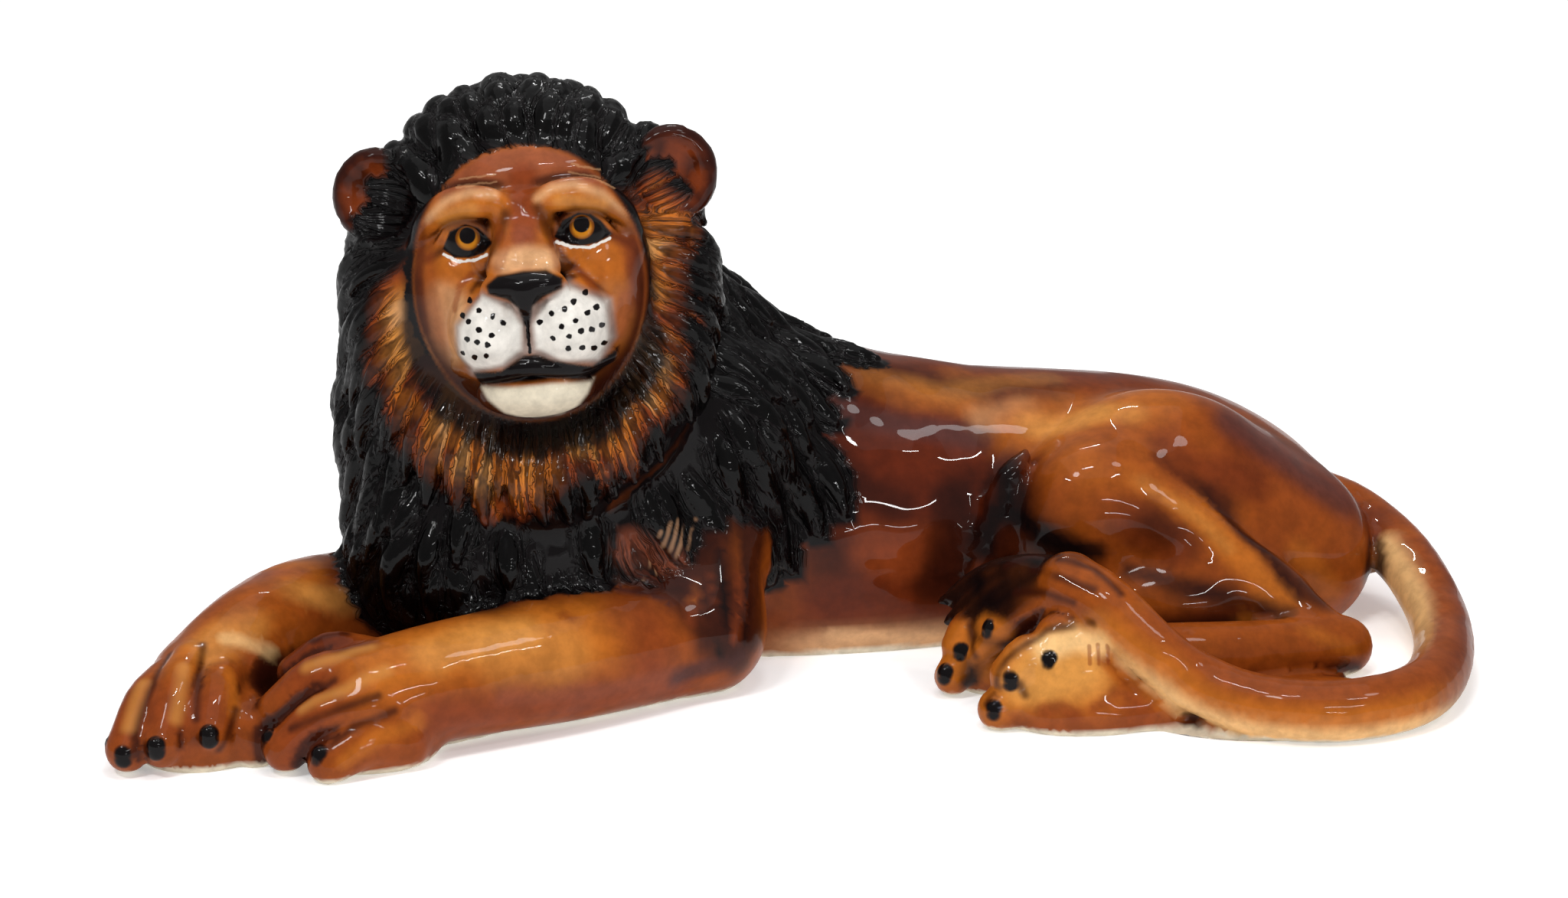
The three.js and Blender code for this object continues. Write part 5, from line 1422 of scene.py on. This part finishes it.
# Clear gloss glaze over stained earthenware: the stain, with painted shade and highlights in it, gives the
# colour, the glaze a hard wet shine
def glazed_earthenware():
    material = bpy.data.materials.new("glazed_earthenware")
    material.use_nodes = True
    tree = material.node_tree
    tree.nodes.clear()
    soft_step = {"interpolation_type": "SMOOTHSTEP"}

    stain_and_painted_light = add_node(tree, "Attribute", attribute_name="stain_and_painted_light")["Color"]
    place = add_node(tree, "TexCoord")["Object"]
    to_mm = (1000, 1000, 1000)
    in_mm = add_node(tree, "VectorMath", [place, to_mm, (*MIDDLE, 0)], operation="MULTIPLY_ADD")[0]

    # Strands combed into the locks, about 4 mm apart, and finer hairs between them
    comb_marks = add_node(tree, "Attribute", attribute_name="comb")["Vector"]
    phase, _, hairy = add_node(tree, "SeparateXYZ", [comb_marks])
    turn = add_node(tree, "Math", [phase, 2 * math.pi], operation="MULTIPLY")[0]
    wave = add_node(tree, "Math", [turn], operation="COSINE")[0]
    between = add_node(tree, "MapRange", [wave, 0.1, 1, 0, 1], **soft_step)[0]
    fine = add_node(tree, "VectorMath", [comb_marks, (5, 0.09, 0)], operation="MULTIPLY")[0]
    hairs = add_node(tree, "TexNoise", {"Vector": fine, "Scale": 1.0, "Detail": 2.0})["Fac"]
    # Painted shade in the grooves between the strands, and painted light and shade along the fine hairs:
    # lighter where a hair stands up, darker between
    painted_groove_shade = add_node(tree, "MapRange", [between, 0, 1, 1, 0.3], **soft_step)[0]
    painted_hair_light_and_shade = add_node(tree, "MapRange", [hairs, 0.35, 0.65, 0.4, 1.25], **soft_step)[0]
    shade = add_node(tree, "Math", [painted_groove_shade, painted_hair_light_and_shade], operation="MULTIPLY")[0]

    # Stain goes on unevenly where there is no hair
    airbrush = add_node(tree, "TexNoise", {
        "Vector": in_mm, "Scale": AIRBRUSH_PER_MM, "Detail": 4.0, "Roughness": 0.6,
    })["Fac"]
    bare = add_node(tree, "MapRange", [airbrush, 0.25, 0.75, 0.82, 1.14], **soft_step)[0]
    # On the hair the stain takes this painted light and shade; elsewhere it varies as the airbrush went on
    tone = add_node(tree, "Mix", {0: hairy, 2: bare, 3: shade})[0]
    stain_and_painted_light = add_node(tree, "VectorMath", {0: stain_and_painted_light, "Scale": tone}, operation="SCALE")[0]

    # The face's own right, up and out, in mm
    from_middle = add_node(tree, "VectorMath", [in_mm, HEAD_AT], operation="SUBTRACT")[0]
    right, up, out = (
        add_node(tree, "VectorMath", [from_middle, axis], operation="DOT_PRODUCT")["Value"]
        for axis in HEAD_AXES.T
    )
    flat = add_node(tree, "CombineXYZ", [right, up])[0]
    front = add_node(tree, "Math", [out, FACE_FRONT], operation="GREATER_THAN")[0]
    wobble = add_node(tree, "TexNoise", {"Vector": flat, "Scale": SHAKE_PER_MM, "Detail": 1.0})["Color"]
    shift = add_node(tree, "VectorMath", [wobble, (SHAKE, SHAKE, 0), (-SHAKE / 2, -SHAKE / 2, 0)],
                     operation="MULTIPLY_ADD")[0]
    by_hand = add_node(tree, "VectorMath", [flat, shift], operation="ADD")[0]

    # Brushed marks, some of them painted highlights and shade: stain, strength, radius in mm, softness as a
    # share of it, lines, and their space
    claws = [[(x, y, z - 1.2), (x, y, z + 1.6)] for x, y, z in CLAWS]
    for mark, strength, radius, soft, lines, where in (
        # Painted shade in the grooves between toes and locks
        (DARK_BROWN, 0.75, 2.3, 0.95, SHADE_LINES, in_mm),
        # Painted highlights along the ridges of the toes
        (GOLD, 0.5, 3.4, 1.0, TOE_HIGHLIGHTS, in_mm),
        (RUST, 0.6, 1.2, 0.5, WRINKLES, in_mm),
        (SAND, 0.6, 1.3, 0.8, PALE_STRANDS, in_mm),
        (BLACK, 1, CLAW_SIZE[1] + 0.7, 0.12, claws, in_mm),
        # Painted highlights across the forehead
        (BEIGE, 0.35, 0.5, 0.9, BROW_HIGHLIGHTS, by_hand),
        (WHITE, 1, 0.8, 0.35, LID_LINES, by_hand),
        (IRIS_RIM, 1, IRIS_RADIUS, 0.06, [[eye] for eye in EYES], flat),
        (IRIS_AMBER, 1, IRIS_RADIUS - 1.5, 0.22, [[(x, y - 0.6)] for x, y in EYES], flat),
        (BLACK, 1, PUPIL_RADIUS, 0.09, [[(x, y + 1.4)] for x, y in EYES], flat),
        (BLACK, 1, 1.55, 0.15, [[spot] for spot in WHISKER_SPOTS], by_hand),
        (BLACK, 1, 1.0, 0.3, MUZZLE_LINES, by_hand),
    ):
        share = brush_share(tree, where, lines, radius)
        amount = add_node(tree, "MapRange", [share, 1 + soft, 1 - soft, 0, strength], **soft_step)[0]
        if where is not in_mm:
            amount = add_node(tree, "Math", [amount, front], operation="MULTIPLY")[0]
        stain_and_painted_light = add_node(tree, "Mix", {0: amount, 6: stain_and_painted_light, 7: (*mark, 1)}, data_type="RGBA")[2]

    # The glaze lies in soft waves, and dips between the strands
    waves = add_node(tree, "TexNoise", {"Vector": in_mm, "Scale": WAVES_PER_MM, "Detail": 0.0})["Fac"]
    raised = add_node(tree, "Math", [waves, WAVE_HEIGHT], operation="MULTIPLY")[0]
    fewer = add_node(tree, "Math", [hairs, -0.8], operation="MULTIPLY")[0]
    strands = add_node(tree, "Math", [between, fewer], operation="ADD")[0]
    strands = add_node(tree, "Math", [strands, hairy], operation="MULTIPLY")[0]
    dipped = add_node(tree, "Math", [strands, STRAND_DIP], operation="MULTIPLY")[0]
    height = add_node(tree, "Math", [raised, dipped], operation="ADD")[0]
    bump = add_node(tree, "Bump", {"Strength": 1.0, "Distance": 0.001, "Height": height})[0]
    shader = add_node(tree, "BsdfPrincipled", {
        "Base Color": stain_and_painted_light,
        "Roughness": 0.4,
        "IOR": GLAZE_IOR,
        "Specular IOR Level": 0.02,
        "Coat Weight": 0.27,
        "Coat Roughness": 0.015,
        "Coat IOR": GLAZE_IOR,
        "Normal": bump,
        "Coat Normal": bump,
    })["BSDF"]
    add_node(tree, "OutputMaterial", {"Surface": shader})
    return material


# Matt white paint: it shows no shine, and a little light of its own keeps it pale
def painted_floor():
    material = bpy.data.materials.new("painted_floor")
    material.use_nodes = True
    shader = material.node_tree.nodes["Principled BSDF"]
    for name, value in (
        ("Base Color", (FLOOR_WHITE, FLOOR_WHITE, FLOOR_WHITE, 1)),
        ("Roughness", 0.9),
        ("Emission Color", (1, 1, 1, 1)),
        ("Emission Strength", FLOOR_GLOW),
    ):
        shader.inputs[name].default_value = value
    return material


def hang_lamp(light, power, place, turn):
    light.energy = power
    lamp = bpy.data.objects.new(light.name, light)
    lamp.location = place
    lamp.rotation_euler = turn.to_euler()
    bpy.context.scene.collection.objects.link(lamp)


def make_studio():
    bpy.ops.mesh.primitive_plane_add(size=16, location=(0, 0, 0))
    floor = bpy.context.object
    floor.name = "studio_floor"
    floor.data.materials.append(painted_floor())
    world = bpy.data.worlds.new("studio")
    bpy.context.scene.world = world
    world.use_nodes = True
    background = world.node_tree.nodes["Background"]
    background.inputs["Color"].default_value = (1, 1, 1, 1)
    background.inputs["Strength"].default_value = WORLD_LIGHT
    for name, place, wide, tall, power in PANELS:
        light = bpy.data.lights.new(name, "AREA")
        light.shape = "RECTANGLE"
        light.size = wide
        light.size_y = tall
        hang_lamp(light, power, place, (Vector(PANELS_AIM) - Vector(place)).to_track_quat("-Z", "Y"))
    for name, place, power in FAR_LAMPS:
        light = bpy.data.lights.new(name, "SUN")
        light.angle = math.radians(FAR_LAMP_ANGLE)
        hang_lamp(light, power, (0, 0, 0), Vector(place).to_track_quat("Z", "Y"))


def make_camera():
    azimuth = math.radians(CAMERA_AZIMUTH)
    height = math.radians(CAMERA_HEIGHT)
    target = Vector(CAMERA_TARGET) / 1000
    level = math.cos(height)
    away = Vector((math.sin(azimuth) * level, -math.cos(azimuth) * level, math.sin(height)))
    lens = bpy.data.cameras.new("photo_camera")
    lens.lens = LENS
    lens.sensor_width = SENSOR_WIDE
    camera = bpy.data.objects.new("photo_camera", lens)
    camera.location = target + away * CAMERA_AWAY / 1000
    camera.rotation_euler = away.to_track_quat("Z", "Y").to_euler()
    bpy.context.scene.collection.objects.link(camera)
    bpy.context.scene.camera = camera


make_camera()
make_studio()
lion = make_lion()
lion.data.materials.append(glazed_earthenware())
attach(lion, "root")
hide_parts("lion")
bpy.context.scene.view_settings.view_transform = "Standard"
